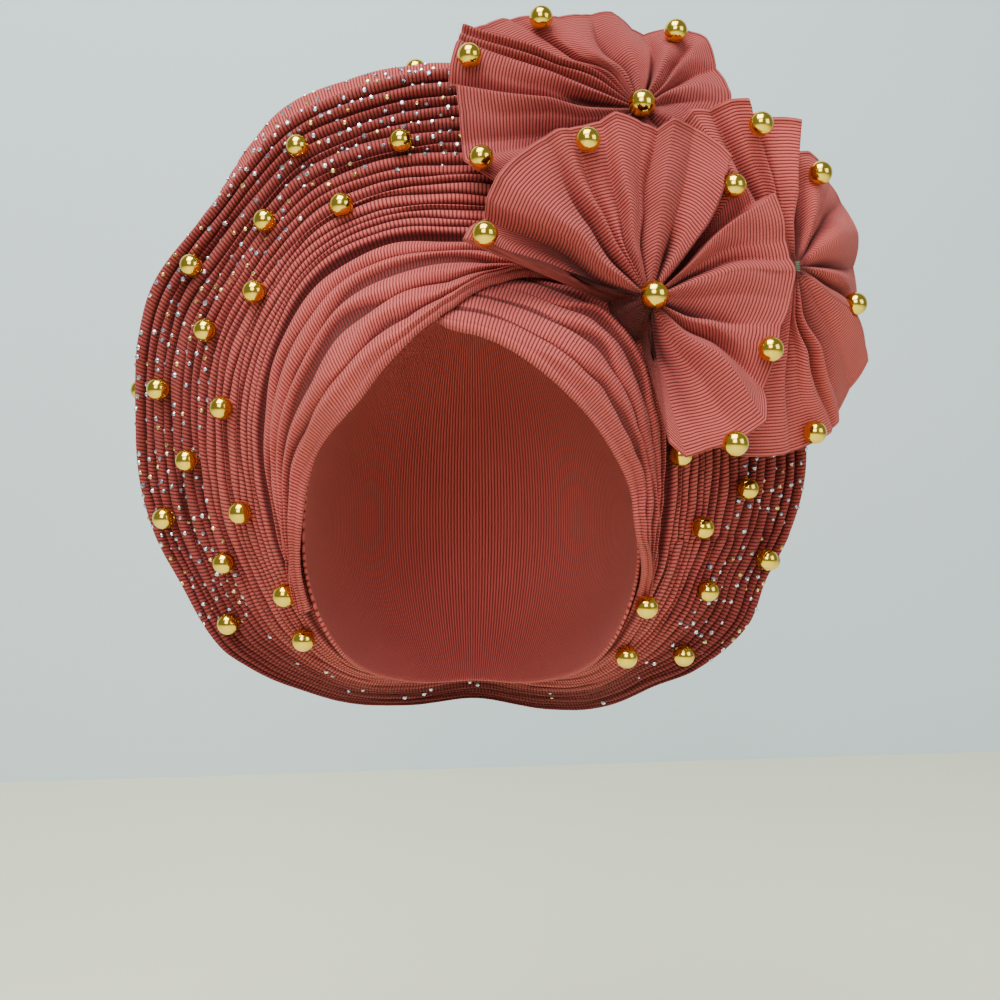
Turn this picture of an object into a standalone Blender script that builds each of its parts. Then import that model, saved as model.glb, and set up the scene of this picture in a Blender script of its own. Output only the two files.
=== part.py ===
# A tied gele head tie: two folded bands crossing on a close cap, a pleated fan round the head,
# plain cloth behind it, three gathered rosettes and round gold balls.
# Metres, +Z up, the face towards -Y, +X to the right as it is looked at from the front.
# The origin is where the crown of the head bears in the cap. Bearings are degrees round the
# Y axis, seen from the front: 0 is +X, 90 is up. Depth is y, so a greater depth lies further back.

from collections import namedtuple
import math

import bmesh
import bpy
from mathutils import Vector
from mathutils.bvhtree import BVHTree

# The head hollow
HEAD_HALF_WIDTH = 0.074
HEAD_HALF_DEPTH = 0.097
CROWN_HEIGHT = 0.115
NAPE_DROP = 0.090

# Walls and gaps
CAP_WALL = 0.002
WRAP_WALL = 0.003
FAN_WALL = 0.002
BACK_WALL = 0.002
ROSETTE_WALL = 0.003
CLEARANCE = 0.0003

# The bands over the forehead
COLLAR_STAND = 0.034
WRAP_FOLDS = 5
WRAP_EDGE_RISE = 0.0018
WRAP_ROLL_SHARE = 0.3

# The fan
FAN_WIDTH = 0.085
FAN_LEAN = 0.043
FAN_FLARE = 1.6
PLEAT_HEIGHT = 0.0036
FULL_PLEAT_WIDTH = 0.6  # share of FAN_WIDTH under which the pleats get lower
ROLL_BACK = 0.0075

# The rosettes
FRONT_RADIUS = 0.082
TOP_RADIUS = 0.085
SIDE_RADIUS = 0.086
FRONT_STAND = 0.034
TOP_STAND = 0.026
SIDE_STAND = 0.033
FOLD_HEIGHT = 0.0045
STEM_RADIUS = 0.008
STEM_TAPER = 0.8

# The balls
BALL_DIAMETER = 0.0105
CENTRE_BALL_DIAMETER = 0.0118
BALL_SIDES = 10

# How finely the cloth is divided
CAP_COLUMNS = 24
WRAP_COLUMN_STEP = 10.0
FAN_COLUMNS = 36

# Where the bands end against the fan: stand off the head and depth, as shares of COLLAR_STAND
# and HEAD_HALF_DEPTH, and the share of that stand that the under band keeps beneath the upper one
CollarRow = namedtuple("CollarRow", "bearing stand depth under")
COLLAR = [
    CollarRow(5, 0.35, -0.08, 1.0),
    CollarRow(20, 0.48, -0.10, 1.0),
    CollarRow(35, 0.66, -0.12, 1.0),
    CollarRow(50, 0.80, -0.13, 1.0),
    CollarRow(60, 0.80, -0.14, 0.93),
    CollarRow(72, 0.66, -0.15, 0.70),
    CollarRow(84, 0.56, -0.155, 0.55),
    CollarRow(94, 0.60, -0.155, 0.42),
    CollarRow(106, 0.82, -0.15, 0.30),
    CollarRow(120, 1.00, -0.14, 0.25),
    CollarRow(133, 0.95, -0.12, 0.25),
    CollarRow(150, 0.78, -0.11, 0.25),
    CollarRow(166, 0.56, -0.10, 0.25),
    CollarRow(180, 0.38, -0.08, 0.25),
    CollarRow(193, 0.22, -0.06, 0.25),
    CollarRow(205, 0.13, -0.01, 0.25),
    CollarRow(225, 0.11, 0.20, 0.25),
    CollarRow(248, 0.11, 0.55, 0.25),
    CollarRow(270, 0.11, 0.70, 0.25),
    CollarRow(292, 0.11, 0.55, 0.25),
    CollarRow(315, 0.11, 0.20, 0.25),
    CollarRow(336, 0.12, -0.02, 1.0),
    CollarRow(351, 0.25, -0.06, 1.0),
]

# The rim of the fan beyond that line: shares of FAN_WIDTH and FAN_LEAN, and the roll of the
# plain cloth past the rim, a share of ROLL_BACK
RimRow = namedtuple("RimRow", "bearing width lean roll")
RIM = [
    RimRow(0, 0.79, 1.00, 0.0),
    RimRow(9, 0.85, 0.98, 0.0),
    RimRow(17, 0.87, 0.96, 0.0),
    RimRow(30, 0.93, 0.95, 0.0),
    RimRow(45, 0.97, 0.93, 0.0),
    RimRow(62, 0.96, 0.88, 0.0),
    RimRow(80, 0.97, 0.83, 0.1),
    RimRow(93, 0.94, 0.81, 0.45),
    RimRow(105, 0.88, 0.85, 0.9),
    RimRow(114, 0.86, 0.88, 1.0),
    RimRow(121, 0.80, 0.90, 0.8),
    RimRow(127, 0.79, 0.92, 0.2),
    RimRow(133, 0.82, 0.93, 0.0),
    RimRow(142, 0.89, 0.95, 0.0),
    RimRow(150, 0.88, 0.97, 0.0),
    RimRow(160, 0.84, 1.00, 0.0),
    RimRow(171, 0.82, 1.00, 0.0),
    RimRow(181, 0.77, 1.00, 0.0),
    RimRow(190, 0.70, 0.95, 0.0),
    RimRow(204, 0.63, 0.85, 0.0),
    RimRow(212, 0.53, 0.78, 0.0),
    RimRow(225, 0.37, 0.68, 0.0),
    RimRow(240, 0.30, 0.60, 0.0),
    RimRow(270, 0.29, 0.58, 0.0),
    RimRow(300, 0.33, 0.60, 0.0),
    RimRow(318, 0.39, 0.68, 0.0),
    RimRow(328, 0.54, 0.80, 0.0),
    RimRow(341, 0.69, 0.92, 0.0),
    RimRow(351, 0.70, 0.97, 0.0),
]

# The pleats from the bands out to the rim: relative widths and shares of PLEAT_HEIGHT
PleatRow = namedtuple("PleatRow", "width height")
PLEATS = [
    PleatRow(0.62, 0.55),
    PleatRow(0.62, 0.55),
    PleatRow(0.64, 0.60),
    PleatRow(0.66, 0.60),
    PleatRow(0.70, 0.65),
    PleatRow(0.75, 0.70),
    PleatRow(0.80, 0.75),
    PleatRow(0.85, 0.80),
    PleatRow(0.92, 0.85),
    PleatRow(0.92, 0.85),
    PleatRow(0.95, 0.90),
    PleatRow(0.95, 0.90),
    PleatRow(1.00, 0.95),
    PleatRow(1.00, 1.00),
    PleatRow(1.00, 1.00),
    PleatRow(1.10, 1.00),
]

# The edge of each band towards the face: depth as a share of HEAD_HALF_DEPTH
EdgeRow = namedtuple("EdgeRow", "bearing depth")
LEFT_EDGE = [
    EdgeRow(67, -0.175),
    EdgeRow(74, -0.24),
    EdgeRow(82, -0.40),
    EdgeRow(88, -0.52),
    EdgeRow(94, -0.62),
    EdgeRow(106, -0.68),
    EdgeRow(121, -0.66),
    EdgeRow(131, -0.61),
    EdgeRow(140, -0.53),
    EdgeRow(148, -0.45),
    EdgeRow(157, -0.40),
    EdgeRow(171, -0.37),
    EdgeRow(180, -0.31),
    EdgeRow(190, -0.22),
    EdgeRow(203, -0.10),
]
RIGHT_EDGE = [
    EdgeRow(-18, -0.12),
    EdgeRow(-12, -0.19),
    EdgeRow(-5, -0.30),
    EdgeRow(3, -0.41),
    EdgeRow(11, -0.45),
    EdgeRow(19, -0.45),
    EdgeRow(26, -0.49),
    EdgeRow(36, -0.56),
    EdgeRow(49, -0.63),
    EdgeRow(61, -0.68),
    EdgeRow(75, -0.70),
    EdgeRow(90, -0.66),
    EdgeRow(98, -0.57),
]

# The back edge of the fan's plain cloth on the cap, and the cap's own edge: depths as shares of
# HEAD_HALF_DEPTH
CapRow = namedtuple("CapRow", "bearing edge back")
CAP = [
    CapRow(0, -0.30, 0.74),
    CapRow(20, -0.38, 0.74),
    CapRow(45, -0.55, 0.74),
    CapRow(70, -0.63, 0.74),
    CapRow(90, -0.58, 0.74),
    CapRow(110, -0.61, 0.74),
    CapRow(135, -0.50, 0.74),
    CapRow(160, -0.33, 0.74),
    CapRow(180, -0.24, 0.74),
    CapRow(200, -0.08, 0.76),
    CapRow(222, 0.08, 0.80),
    CapRow(246, 0.40, 0.86),
    CapRow(270, 0.55, 0.88),
    CapRow(294, 0.40, 0.86),
    CapRow(318, 0.08, 0.80),
    CapRow(340, -0.08, 0.76),
]

# The folds of each rosette, round its middle as it is looked at: direction in degrees, reach as a
# share of the rosette's radius, and how far its edge leans forward, as a share of that radius
FoldRow = namedtuple("FoldRow", "direction reach lean")
FRONT_FOLDS = [
    FoldRow(-83, 0.83, 0.06),
    FoldRow(-71, 0.81, 0.12),
    FoldRow(-56, 0.79, 0.14),
    FoldRow(-38, 0.74, 0.04),
    FoldRow(-24, 0.72, 0.08),
    FoldRow(-10, 0.71, 0.12),
    FoldRow(4, 0.75, 0.03),
    FoldRow(18, 0.77, 0.11),
    FoldRow(31, 0.84, 0.03),
    FoldRow(43, 0.86, -0.03),
    FoldRow(58, 0.84, 0.08),
    FoldRow(69, 0.92, 0.00),
    FoldRow(82, 0.92, 0.10),
    FoldRow(90, 0.97, -0.03),
    FoldRow(100, 0.95, 0.09),
    FoldRow(113, 0.96, 0.00),
    FoldRow(126, 0.98, 0.10),
    FoldRow(136, 1.00, 0.02),
    FoldRow(147, 0.98, 0.10),
    FoldRow(157, 0.97, 0.02),
    FoldRow(165, 1.00, 0.08),
    FoldRow(183, 0.17, 0.02),
    FoldRow(212, 0.15, 0.02),
    FoldRow(242, 0.15, 0.02),
    FoldRow(262, 0.17, 0.02),
]
TOP_FOLDS = [
    FoldRow(7, 0.48, 0.00),
    FoldRow(20, 0.51, -0.05),
    FoldRow(38, 0.54, -0.10),
    FoldRow(51, 0.61, -0.16),
    FoldRow(61, 0.63, -0.20),
    FoldRow(73, 0.60, -0.22),
    FoldRow(86, 0.58, -0.20),
    FoldRow(95, 0.67, -0.24),
    FoldRow(103, 0.72, -0.23),
    FoldRow(115, 0.71, -0.18),
    FoldRow(127, 0.76, -0.15),
    FoldRow(138, 0.87, -0.12),
    FoldRow(145, 0.93, -0.08),
    FoldRow(153, 1.02, -0.02),
    FoldRow(163, 1.01, 0.00),
    FoldRow(172, 1.00, 0.02),
    FoldRow(183, 0.93, 0.04),
    FoldRow(192, 0.94, 0.04),
    FoldRow(201, 0.97, 0.06),
    FoldRow(208, 0.90, 0.00),
    FoldRow(226, 0.58, 0.07),
    FoldRow(246, 0.48, 0.03),
    FoldRow(268, 0.46, 0.07),
    FoldRow(290, 0.40, 0.03),
    FoldRow(314, 0.36, 0.05),
    FoldRow(340, 0.38, 0.00),
]
SIDE_FOLDS = [
    FoldRow(2, 0.57, -0.51),
    FoldRow(16, 0.57, -0.50),
    FoldRow(31, 0.62, -0.46),
    FoldRow(45, 0.60, -0.42),
    FoldRow(58, 0.60, -0.34),
    FoldRow(71, 0.64, -0.25),
    FoldRow(82, 0.62, -0.14),
    FoldRow(92, 0.75, -0.02),
    FoldRow(101, 0.77, 0.04),
    FoldRow(110, 0.86, 0.10),
    FoldRow(118, 0.90, 0.07),
    FoldRow(126, 0.95, 0.12),
    FoldRow(131, 0.95, 0.08),
    FoldRow(146, 0.50, 0.06),
    FoldRow(166, 0.42, 0.00),
    FoldRow(188, 0.40, 0.03),
    FoldRow(210, 0.46, 0.00),
    FoldRow(230, 0.60, 0.03),
    FoldRow(245, 1.00, 0.00),
    FoldRow(253, 1.00, 0.03),
    FoldRow(262, 0.96, -0.03),
    FoldRow(272, 0.92, -0.07),
    FoldRow(283, 0.91, -0.20),
    FoldRow(293, 0.90, -0.30),
    FoldRow(302, 0.82, -0.40),
    FoldRow(313, 0.76, -0.44),
    FoldRow(325, 0.74, -0.48),
    FoldRow(336, 0.60, -0.50),
    FoldRow(349, 0.58, -0.52),
]

# Where each rosette's middle lies over the fan, and how it is turned to the right and upwards
RosetteRow = namedtuple("RosetteRow", "name radius stand folds bearing share turn tilt")
ROSETTES = [
    RosetteRow("rosette_top", TOP_RADIUS, TOP_STAND, TOP_FOLDS, 68.7, 0.90, 3, 16),
    RosetteRow("rosette_side", SIDE_RADIUS, SIDE_STAND, SIDE_FOLDS, 40.4, 0.94, 10, 2),
    RosetteRow("rosette_front", FRONT_RADIUS, FRONT_STAND, FRONT_FOLDS, 54.5, 0.06, 12, 12),
]

# Balls on the fan: bearing and share of the way from the bands to the rim
BallRow = namedtuple("BallRow", "bearing share")
FAN_BALLS = [
    BallRow(114, 0.75),
    BallRow(100, 0.53),
    BallRow(111, 0.24),
    BallRow(123, 0.51),
    BallRow(136, 0.78),
    BallRow(131, 0.25),
    BallRow(142, 0.46),
    BallRow(155, 0.75),
    BallRow(152, 0.22),
    BallRow(165, 0.52),
    BallRow(177, 0.80),
    BallRow(173, 0.13),
    BallRow(186, 0.42),
    BallRow(196, 0.00),
    BallRow(200, 0.67),
    BallRow(211, 0.06),
    BallRow(23, 0.00),
    BallRow(10, 0.50),
    BallRow(3, 0.20),
    BallRow(355, 0.84),
    BallRow(347, 0.42),
    BallRow(340, -0.09),
    BallRow(322, 0.07),
    BallRow(330, 0.60),
]
# Balls that sit behind the rim, by their bearings
RIM_BALLS = [157, 97, 354]
# Balls on the rosettes: rosette, direction and share of its radius
RosetteBallRow = namedtuple("RosetteBallRow", "rosette direction share")
ROSETTE_BALLS = [
    RosetteBallRow("rosette_top", 0, 0.00),
    RosetteBallRow("rosette_top", 134, 0.72),
    RosetteBallRow("rosette_top", 165, 0.91),
    RosetteBallRow("rosette_top", 66, 0.53),
    RosetteBallRow("rosette_top", 203, 0.90),
    RosetteBallRow("rosette_front", 0, 0.00),
    RosetteBallRow("rosette_front", 112, 0.84),
    RosetteBallRow("rosette_front", 164, 0.91),
    RosetteBallRow("rosette_front", 52, 0.72),
    RosetteBallRow("rosette_front", 332, 0.63),
    RosetteBallRow("rosette_front", 292, 0.84),
    RosetteBallRow("rosette_side", 111, 0.72),
    RosetteBallRow("rosette_side", 72, 0.52),
    RosetteBallRow("rosette_side", 337, 0.43),
    RosetteBallRow("rosette_side", 280, 0.86),
]

CLOTH = (0.56, 0.16, 0.13)
CLOTH_DARK = (0.42, 0.10, 0.08)
GOLD = (0.80, 0.56, 0.24)


# Tables and curves

def table_value(rows, bearing, column, closed=True):
    # A smooth curve through one column, round the whole circle or clamped at its two ends
    count = len(rows)
    first = rows[0][0]
    if closed:
        bearing = first + (bearing - first) % 360
    places = [place for place, row in enumerate(rows) if row[0] <= bearing + 1e-9]
    index = max(places, default=0)
    if not closed:
        index = min(index, count - 2)

    def knot(place):
        turns, inside = divmod(place, count)
        if closed:
            return rows[inside][0] + 360 * turns, getattr(rows[inside], column)
        inside = min(max(place, 0), count - 1)
        return rows[inside][0] + (place - inside), getattr(rows[inside], column)

    (b0, v0), (b1, v1), (b2, v2), (b3, v3) = (knot(index + step) for step in (-1, 0, 1, 2))
    span = b2 - b1
    share = min(max((bearing - b1) / span, 0.0), 1.0)
    leave = (v2 - v0) / (b2 - b0) * span
    arrive = (v3 - v1) / (b3 - b1) * span
    square, cube = share ** 2, share ** 3
    return (
        (2 * cube - 3 * square + 1) * v1
        + (cube - 2 * square + share) * leave
        + (3 * square - 2 * cube) * v2
        + (cube - square) * arrive
    )


def chord_sag(radius, step):
    return radius * (1 - math.cos(math.radians(step) / 2))


# The head and the lines on it

def head_reach(bearing, off=0.0, depth=0.0):
    # From the middle of the head to its surface grown by off, at a depth
    angle = math.radians(bearing)
    height = CROWN_HEIGHT if math.sin(angle) >= 0 else NAPE_DROP
    widest = 1 / math.hypot(math.cos(angle) / (HEAD_HALF_WIDTH + off), math.sin(angle) / (height + off))
    return widest * math.sqrt(max(0.0, 1 - (depth / (HEAD_HALF_DEPTH + off)) ** 2))


def ring_point(bearing, reach, depth):
    angle = math.radians(bearing)
    return Vector((reach * math.cos(angle), depth, reach * math.sin(angle) - CROWN_HEIGHT))


SEAT = CAP_WALL + CLEARANCE + chord_sag(HEAD_HALF_DEPTH, WRAP_COLUMN_STEP)


def collar_depth(bearing):
    return table_value(COLLAR, bearing, "depth") * HEAD_HALF_DEPTH


def collar_stand(bearing):
    return max(table_value(COLLAR, bearing, "stand") * COLLAR_STAND, SEAT + CLEARANCE)


def collar_reach(bearing):
    return head_reach(bearing, collar_stand(bearing), collar_depth(bearing))


# The bands

def band_climb(share):
    # A stair of rolled edges: each fold rises in a quarter round, then lies flat
    fold, along = divmod(min(max(share, 0.0), 1.0) * WRAP_FOLDS, 1.0)
    if along < WRAP_ROLL_SHARE:
        roll = math.sqrt(1 - (1 - along / WRAP_ROLL_SHARE) ** 2)
    else:
        roll = 1.0
    return (fold + roll) / WRAP_FOLDS if fold < WRAP_FOLDS else 1.0


def band_base():
    return SEAT + WRAP_WALL


def band_share(edge_rows, bearing, depth):
    edge = table_value(edge_rows, bearing, "depth", closed=False) * HEAD_HALF_DEPTH
    return (depth - edge) / (collar_depth(bearing) - CLEARANCE - edge)


def right_stand(bearing, share):
    full = collar_stand(bearing) * table_value(COLLAR, bearing, "under") - WRAP_WALL
    top = max(full, band_base() + WRAP_EDGE_RISE)
    return band_base() + (top - band_base()) * band_climb(share)


def right_cover(bearing, depth):
    # The height that clears the whole under band near one spot
    if not RIGHT_EDGE[0].bearing <= bearing <= RIGHT_EDGE[-1].bearing + WRAP_COLUMN_STEP:
        return SEAT
    share = band_share(RIGHT_EDGE, bearing, depth)
    ahead = min(1.0, share + 1 / WRAP_FOLDS)
    return right_stand(bearing, ahead) + CLEARANCE + chord_sag(HEAD_HALF_DEPTH, WRAP_COLUMN_STEP)


def left_stand(bearing, share, depth):
    top = max(collar_stand(bearing) - WRAP_WALL, band_base() + WRAP_EDGE_RISE)
    own = band_base() + (top - band_base()) * band_climb(share)
    return max(own, right_cover(bearing, depth) + WRAP_WALL)


def band_grid(edge_rows, outer_stand, inner_stand):
    low, high = edge_rows[0].bearing, edge_rows[-1].bearing
    columns = math.ceil((high - low) / WRAP_COLUMN_STEP)
    steps = [fold + part for fold in range(WRAP_FOLDS) for part in (0.0, 0.09, WRAP_ROLL_SHARE)]
    shares = [step / WRAP_FOLDS for step in steps] + [1.0]
    outer, inner = [], []
    for column in range(columns + 1):
        bearing = low + (high - low) * column / columns
        edge = table_value(edge_rows, bearing, "depth", closed=False) * HEAD_HALF_DEPTH
        end = collar_depth(bearing) - CLEARANCE - chord_sag(HEAD_HALF_DEPTH, WRAP_COLUMN_STEP) / 2
        outer_line, inner_line = [], []
        for share in shares:
            depth = edge + (end - edge) * share
            lag = min(share, WRAP_WALL / (end - edge))
            off = outer_stand(bearing, share, depth)
            under = inner_stand(bearing, share - lag, depth, off)
            outer_line.append(ring_point(bearing, head_reach(bearing, off, depth), depth))
            inner_line.append(ring_point(bearing, head_reach(bearing, under, depth), depth))
        outer.append(outer_line)
        inner.append(inner_line)
    return outer, inner


# The fan

def pleat_edges():
    total = sum(row.width for row in PLEATS)
    edges = [0.0]
    for row in PLEATS:
        edges.append(edges[-1] + row.width / total)
    return edges


def fan_base(bearing, share):
    # Reach and depth of the pleats' valleys, and the direction that their ridges rise in
    width = table_value(RIM, bearing, "width") * FAN_WIDTH
    lean = table_value(RIM, bearing, "lean") * FAN_LEAN
    reach = collar_reach(bearing) + CLEARANCE + width * share
    depth = collar_depth(bearing) + lean * (1 - (1 - share) ** FAN_FLARE)
    slope = lean * FAN_FLARE * (1 - min(share, 0.999)) ** (FAN_FLARE - 1)
    length = math.hypot(width, slope)
    return reach, depth, slope / length, -width / length


def fan_point(bearing, share, height=0.0):
    reach, depth, out, forward = fan_base(bearing, share)
    return ring_point(bearing, reach + out * height, depth + forward * height)


def fan_section(bearing):
    seat_depth = collar_depth(bearing)
    points = [ring_point(bearing, head_reach(bearing, SEAT, seat_depth), seat_depth)]
    edges = pleat_edges()
    tallest = PLEAT_HEIGHT * min(1.0, table_value(RIM, bearing, "width") / FULL_PLEAT_WIDTH)
    for row, start, end in zip(PLEATS, edges, edges[1:]):
        points.append(fan_point(bearing, start))
        points.append(fan_point(bearing, (start + end) / 2, row.height * tallest))
    points.append(fan_point(bearing, 1.0))
    for share in (1.0, 0.65, 0.3, 0.06):
        points.append(fan_point(bearing, share, -FAN_WALL))
    back = seat_depth + FAN_WALL * 1.5
    points.append(ring_point(bearing, head_reach(bearing, SEAT, back), back))
    return points


def inner_corner(before, here, after):
    # The corner of a line that runs one wall inside the two legs that meet here
    (a, b), (c, d) = [
        (-(end[1] - start[1]) / math.dist(start, end), (end[0] - start[0]) / math.dist(start, end))
        for start, end in ((before, here), (here, after))
    ]
    size = BACK_WALL / (1 + a * c + b * d)
    return here[0] + (a + c) * size, here[1] + (b + d) * size


def back_section(bearing):
    # From just behind the rim, out round the roll, and back to the cap: outer line, inner line
    reach, depth, out, forward = fan_base(bearing, 1.0)
    start = depth + FAN_WALL + CLEARANCE * 2
    roll = max(0.0, table_value(RIM, bearing, "roll")) * ROLL_BACK
    end_depth = table_value(CAP, bearing, "back") * HEAD_HALF_DEPTH
    end = head_reach(bearing, SEAT, end_depth)
    run = end_depth - start
    drop = reach - end
    outer = [
        (reach - BACK_WALL / 2, start),
        (reach + roll, start + BACK_WALL + roll),
        (end + drop * 0.84, start + BACK_WALL + roll + run * 0.12),
        (end + drop * 0.50, end_depth - run * 0.46),
        (end + drop * 0.20, end_depth - run * 0.14),
        (end, end_depth),
    ]
    corners = [inner_corner(*legs) for legs in zip(outer, outer[1:], outer[2:])]
    corners[0] = (corners[0][0], max(corners[0][1], start + CLEARANCE))
    first = (reach - BACK_WALL * 1.7, start)
    last = (head_reach(bearing, SEAT, end_depth - BACK_WALL), end_depth - BACK_WALL)
    line = outer + [last] + corners[::-1] + [first]
    return [ring_point(bearing, r, y) for r, y in line]


# Rosettes

def rosette_frame(row):
    # Middle, and the directions to its right, upwards and towards the eye
    turn, tilt = math.radians(row.turn), math.radians(row.tilt)
    facing = Vector((math.sin(turn) * math.cos(tilt), -math.cos(turn) * math.cos(tilt), math.sin(tilt)))
    right = Vector((math.cos(turn), math.sin(turn), 0.0))
    up = right.cross(facing) * -1
    middle = fan_point(row.bearing, row.share) + Vector((0, -row.stand, 0))
    return middle, right, up, facing


def fold_columns(row):
    # A ridge and the valley after it for each fold: direction, reach, lean, side of the fold
    columns = []
    folds = row.folds
    for place, fold in enumerate(folds):
        after = folds[(place + 1) % len(folds)]
        turn = (after.direction - fold.direction) % 360
        columns.append((fold.direction, fold.reach, fold.lean, 1.0))
        reach = min(fold.reach, after.reach)
        if max(fold.reach, after.reach) > 2 * reach:
            columns.append((fold.direction + turn * 0.08, fold.reach, fold.lean, 0.0))
        else:
            lean = (fold.lean + after.lean) / 2
            columns.append((fold.direction + turn * 0.62, reach * 0.97, lean, -1.0))
    return columns


def rosette_point(row, frame, column, share, drop=0.0):
    middle, right, up, facing = frame
    direction, reach, lean, side = column
    angle = math.radians(direction)
    along = STEM_RADIUS * 0.5 + (reach * row.radius - STEM_RADIUS * 0.5) * share
    bend = share ** (1.8 if lean < 0 else 1.2)
    rise = lean * row.radius * bend + side * FOLD_HEIGHT * share ** 0.8 - drop
    return middle + (right * math.cos(angle) + up * math.sin(angle)) * along + facing * rise


def rosette_rings(row, frame, stem_length):
    # Front rings from the middle out, back rings from the edge in, then the stem
    columns = fold_columns(row)
    middle, right, up, facing = frame
    skins = [(share, 0.0) for share in (0.08, 0.35, 0.68, 1.0)]
    skins += [(share, ROSETTE_WALL) for share in (1.0, 0.5)]
    rings = [
        [rosette_point(row, frame, column, share, drop) for column in columns]
        for share, drop in skins
    ]
    stem = [(STEM_RADIUS, ROSETTE_WALL + FOLD_HEIGHT * 1.5), (STEM_RADIUS * STEM_TAPER, stem_length)]
    for radius, length in stem:
        angles = [math.radians(column[0]) for column in columns]
        rings.append([
            middle - facing * length + (right * math.cos(angle) + up * math.sin(angle)) * radius
            for angle in angles
        ])
    return rings


def stem_reach(row, frame, trees):
    # How far the stem runs back until it is a clearance from the first cloth behind it
    middle, right, up, facing = frame
    reaches = []
    for ring in (0.0, 0.33, 0.67, 1.0):
        for step in range(24):
            angle = step * math.pi / 12
            offset = (right * math.cos(angle) + up * math.sin(angle)) * STEM_RADIUS * ring
            for tree in trees:
                hit = tree.ray_cast(middle + offset - facing * ROSETTE_WALL * 2, -facing)
                if hit[0] is not None:
                    reaches.append(hit[3] + ROSETTE_WALL * 2)
    return min(reaches) - CLEARANCE


# Making solids

def cloth_material(name, colour, roughness, metallic=0.0):
    material = bpy.data.materials.new(name)
    material.use_nodes = True
    shader = material.node_tree.nodes["Principled BSDF"]
    shader.inputs["Base Color"].default_value = (*colour, 1.0)
    shader.inputs["Roughness"].default_value = roughness
    shader.inputs["Metallic"].default_value = metallic
    return material


def finish_solid(name, work, colour, roughness, metallic=0.0, smooth=40):
    bmesh.ops.recalc_face_normals(work, faces=work.faces)
    bmesh.ops.triangulate(work, faces=work.faces)
    mesh = bpy.data.meshes.new(name)
    work.to_mesh(mesh)
    work.free()
    mesh.shade_smooth()
    mesh.set_sharp_from_angle(angle=math.radians(smooth))
    mesh.materials.append(cloth_material(name, colour, roughness, metallic))
    solid = bpy.data.objects.new(name, mesh)
    bpy.context.scene.collection.objects.link(solid)
    return solid


def sheet_solid(name, outer, inner, colour):
    # Two grids of points, closed round their four edges
    work = bmesh.new()
    top = [[work.verts.new(point) for point in line] for line in outer]
    bottom = [[work.verts.new(point) for point in line] for line in inner]
    for grid in (top, bottom):
        for line, after in zip(grid, grid[1:]):
            for place in range(len(line) - 1):
                work.faces.new((line[place], line[place + 1], after[place + 1], after[place]))
    rims = [
        (top[0], bottom[0]),
        (top[-1], bottom[-1]),
        ([line[0] for line in top], [line[0] for line in bottom]),
        ([line[-1] for line in top], [line[-1] for line in bottom]),
    ]
    for over, under in rims:
        for place in range(len(over) - 1):
            work.faces.new((over[place], over[place + 1], under[place + 1], under[place]))
    return finish_solid(name, work, colour, 0.85)


def ring_solid(name, sections, colour):
    # One closed section for each bearing, joined all the way round
    work = bmesh.new()
    loops = [[work.verts.new(point) for point in section] for section in sections]
    for place, loop in enumerate(loops):
        after = loops[(place + 1) % len(loops)]
        for step in range(len(loop)):
            following = (step + 1) % len(loop)
            work.faces.new((loop[step], loop[following], after[following], after[step]))
    return finish_solid(name, work, colour, 0.85)


def capped_solid(name, rings, start, end, colour):
    # Rings of points from one middle point to another
    work = bmesh.new()
    loops = [[work.verts.new(point) for point in ring] for ring in rings]
    for loop, after in zip(loops, loops[1:]):
        for step in range(len(loop)):
            following = (step + 1) % len(loop)
            work.faces.new((loop[step], loop[following], after[following], after[step]))
    for loop, middle in ((loops[0], start), (loops[-1], end)):
        hub = work.verts.new(middle)
        for step in range(len(loop)):
            work.faces.new((loop[step], loop[(step + 1) % len(loop)], hub))
    return finish_solid(name, work, colour, 0.85)


def solid_tree(solid):
    return BVHTree.FromPolygons(
        [vertex.co.copy() for vertex in solid.data.vertices],
        [tuple(face.vertices) for face in solid.data.polygons],
    )


# The pieces

def make_cap():
    rings = []
    walls = ((0.0, 1), (CAP_WALL, -1))
    shares = [0.16, 0.36, 0.58, 0.79, 1.0]
    for off, order in walls:
        for share in shares[::order]:
            ring = []
            for column in range(CAP_COLUMNS):
                bearing = 360 * column / CAP_COLUMNS
                edge = math.degrees(math.acos(-table_value(CAP, bearing, "edge")))
                angle = math.radians(180 - (180 - edge) * share)
                depth = -(HEAD_HALF_DEPTH + off) * math.cos(angle)
                ring.append(ring_point(bearing, head_reach(bearing, off, depth), depth))
            rings.append(ring)
    inner = Vector((0, HEAD_HALF_DEPTH, -CROWN_HEIGHT))
    outer = Vector((0, HEAD_HALF_DEPTH + CAP_WALL, -CROWN_HEIGHT))
    return capped_solid("cap", rings, inner, outer, CLOTH_DARK)


def make_wraps():
    right = band_grid(
        RIGHT_EDGE,
        lambda bearing, share, depth: right_stand(bearing, share),
        lambda bearing, share, depth, off: max(SEAT, right_stand(bearing, share) - WRAP_WALL),
    )
    left = band_grid(
        LEFT_EDGE,
        left_stand,
        lambda bearing, share, depth, off: max(
            SEAT,
            right_cover(bearing, depth),
            left_stand(bearing, share, depth) - WRAP_WALL,
        ),
    )
    return [sheet_solid("wrap_right", *right, CLOTH), sheet_solid("wrap_left", *left, CLOTH)]


def make_fan():
    bearings = [360 * column / FAN_COLUMNS for column in range(FAN_COLUMNS)]
    fan = ring_solid("fan", [fan_section(bearing) for bearing in bearings], CLOTH)
    back = ring_solid("fan_back", [back_section(bearing) for bearing in bearings], CLOTH_DARK)
    return [fan, back]


def make_rosette(row, carriers):
    frame = rosette_frame(row)
    length = stem_reach(row, frame, [solid_tree(carrier) for carrier in carriers])
    middle, facing = frame[0], frame[3]
    rings = rosette_rings(row, frame, length)
    return capped_solid(row.name, rings, middle, middle - facing * length, CLOTH)


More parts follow.
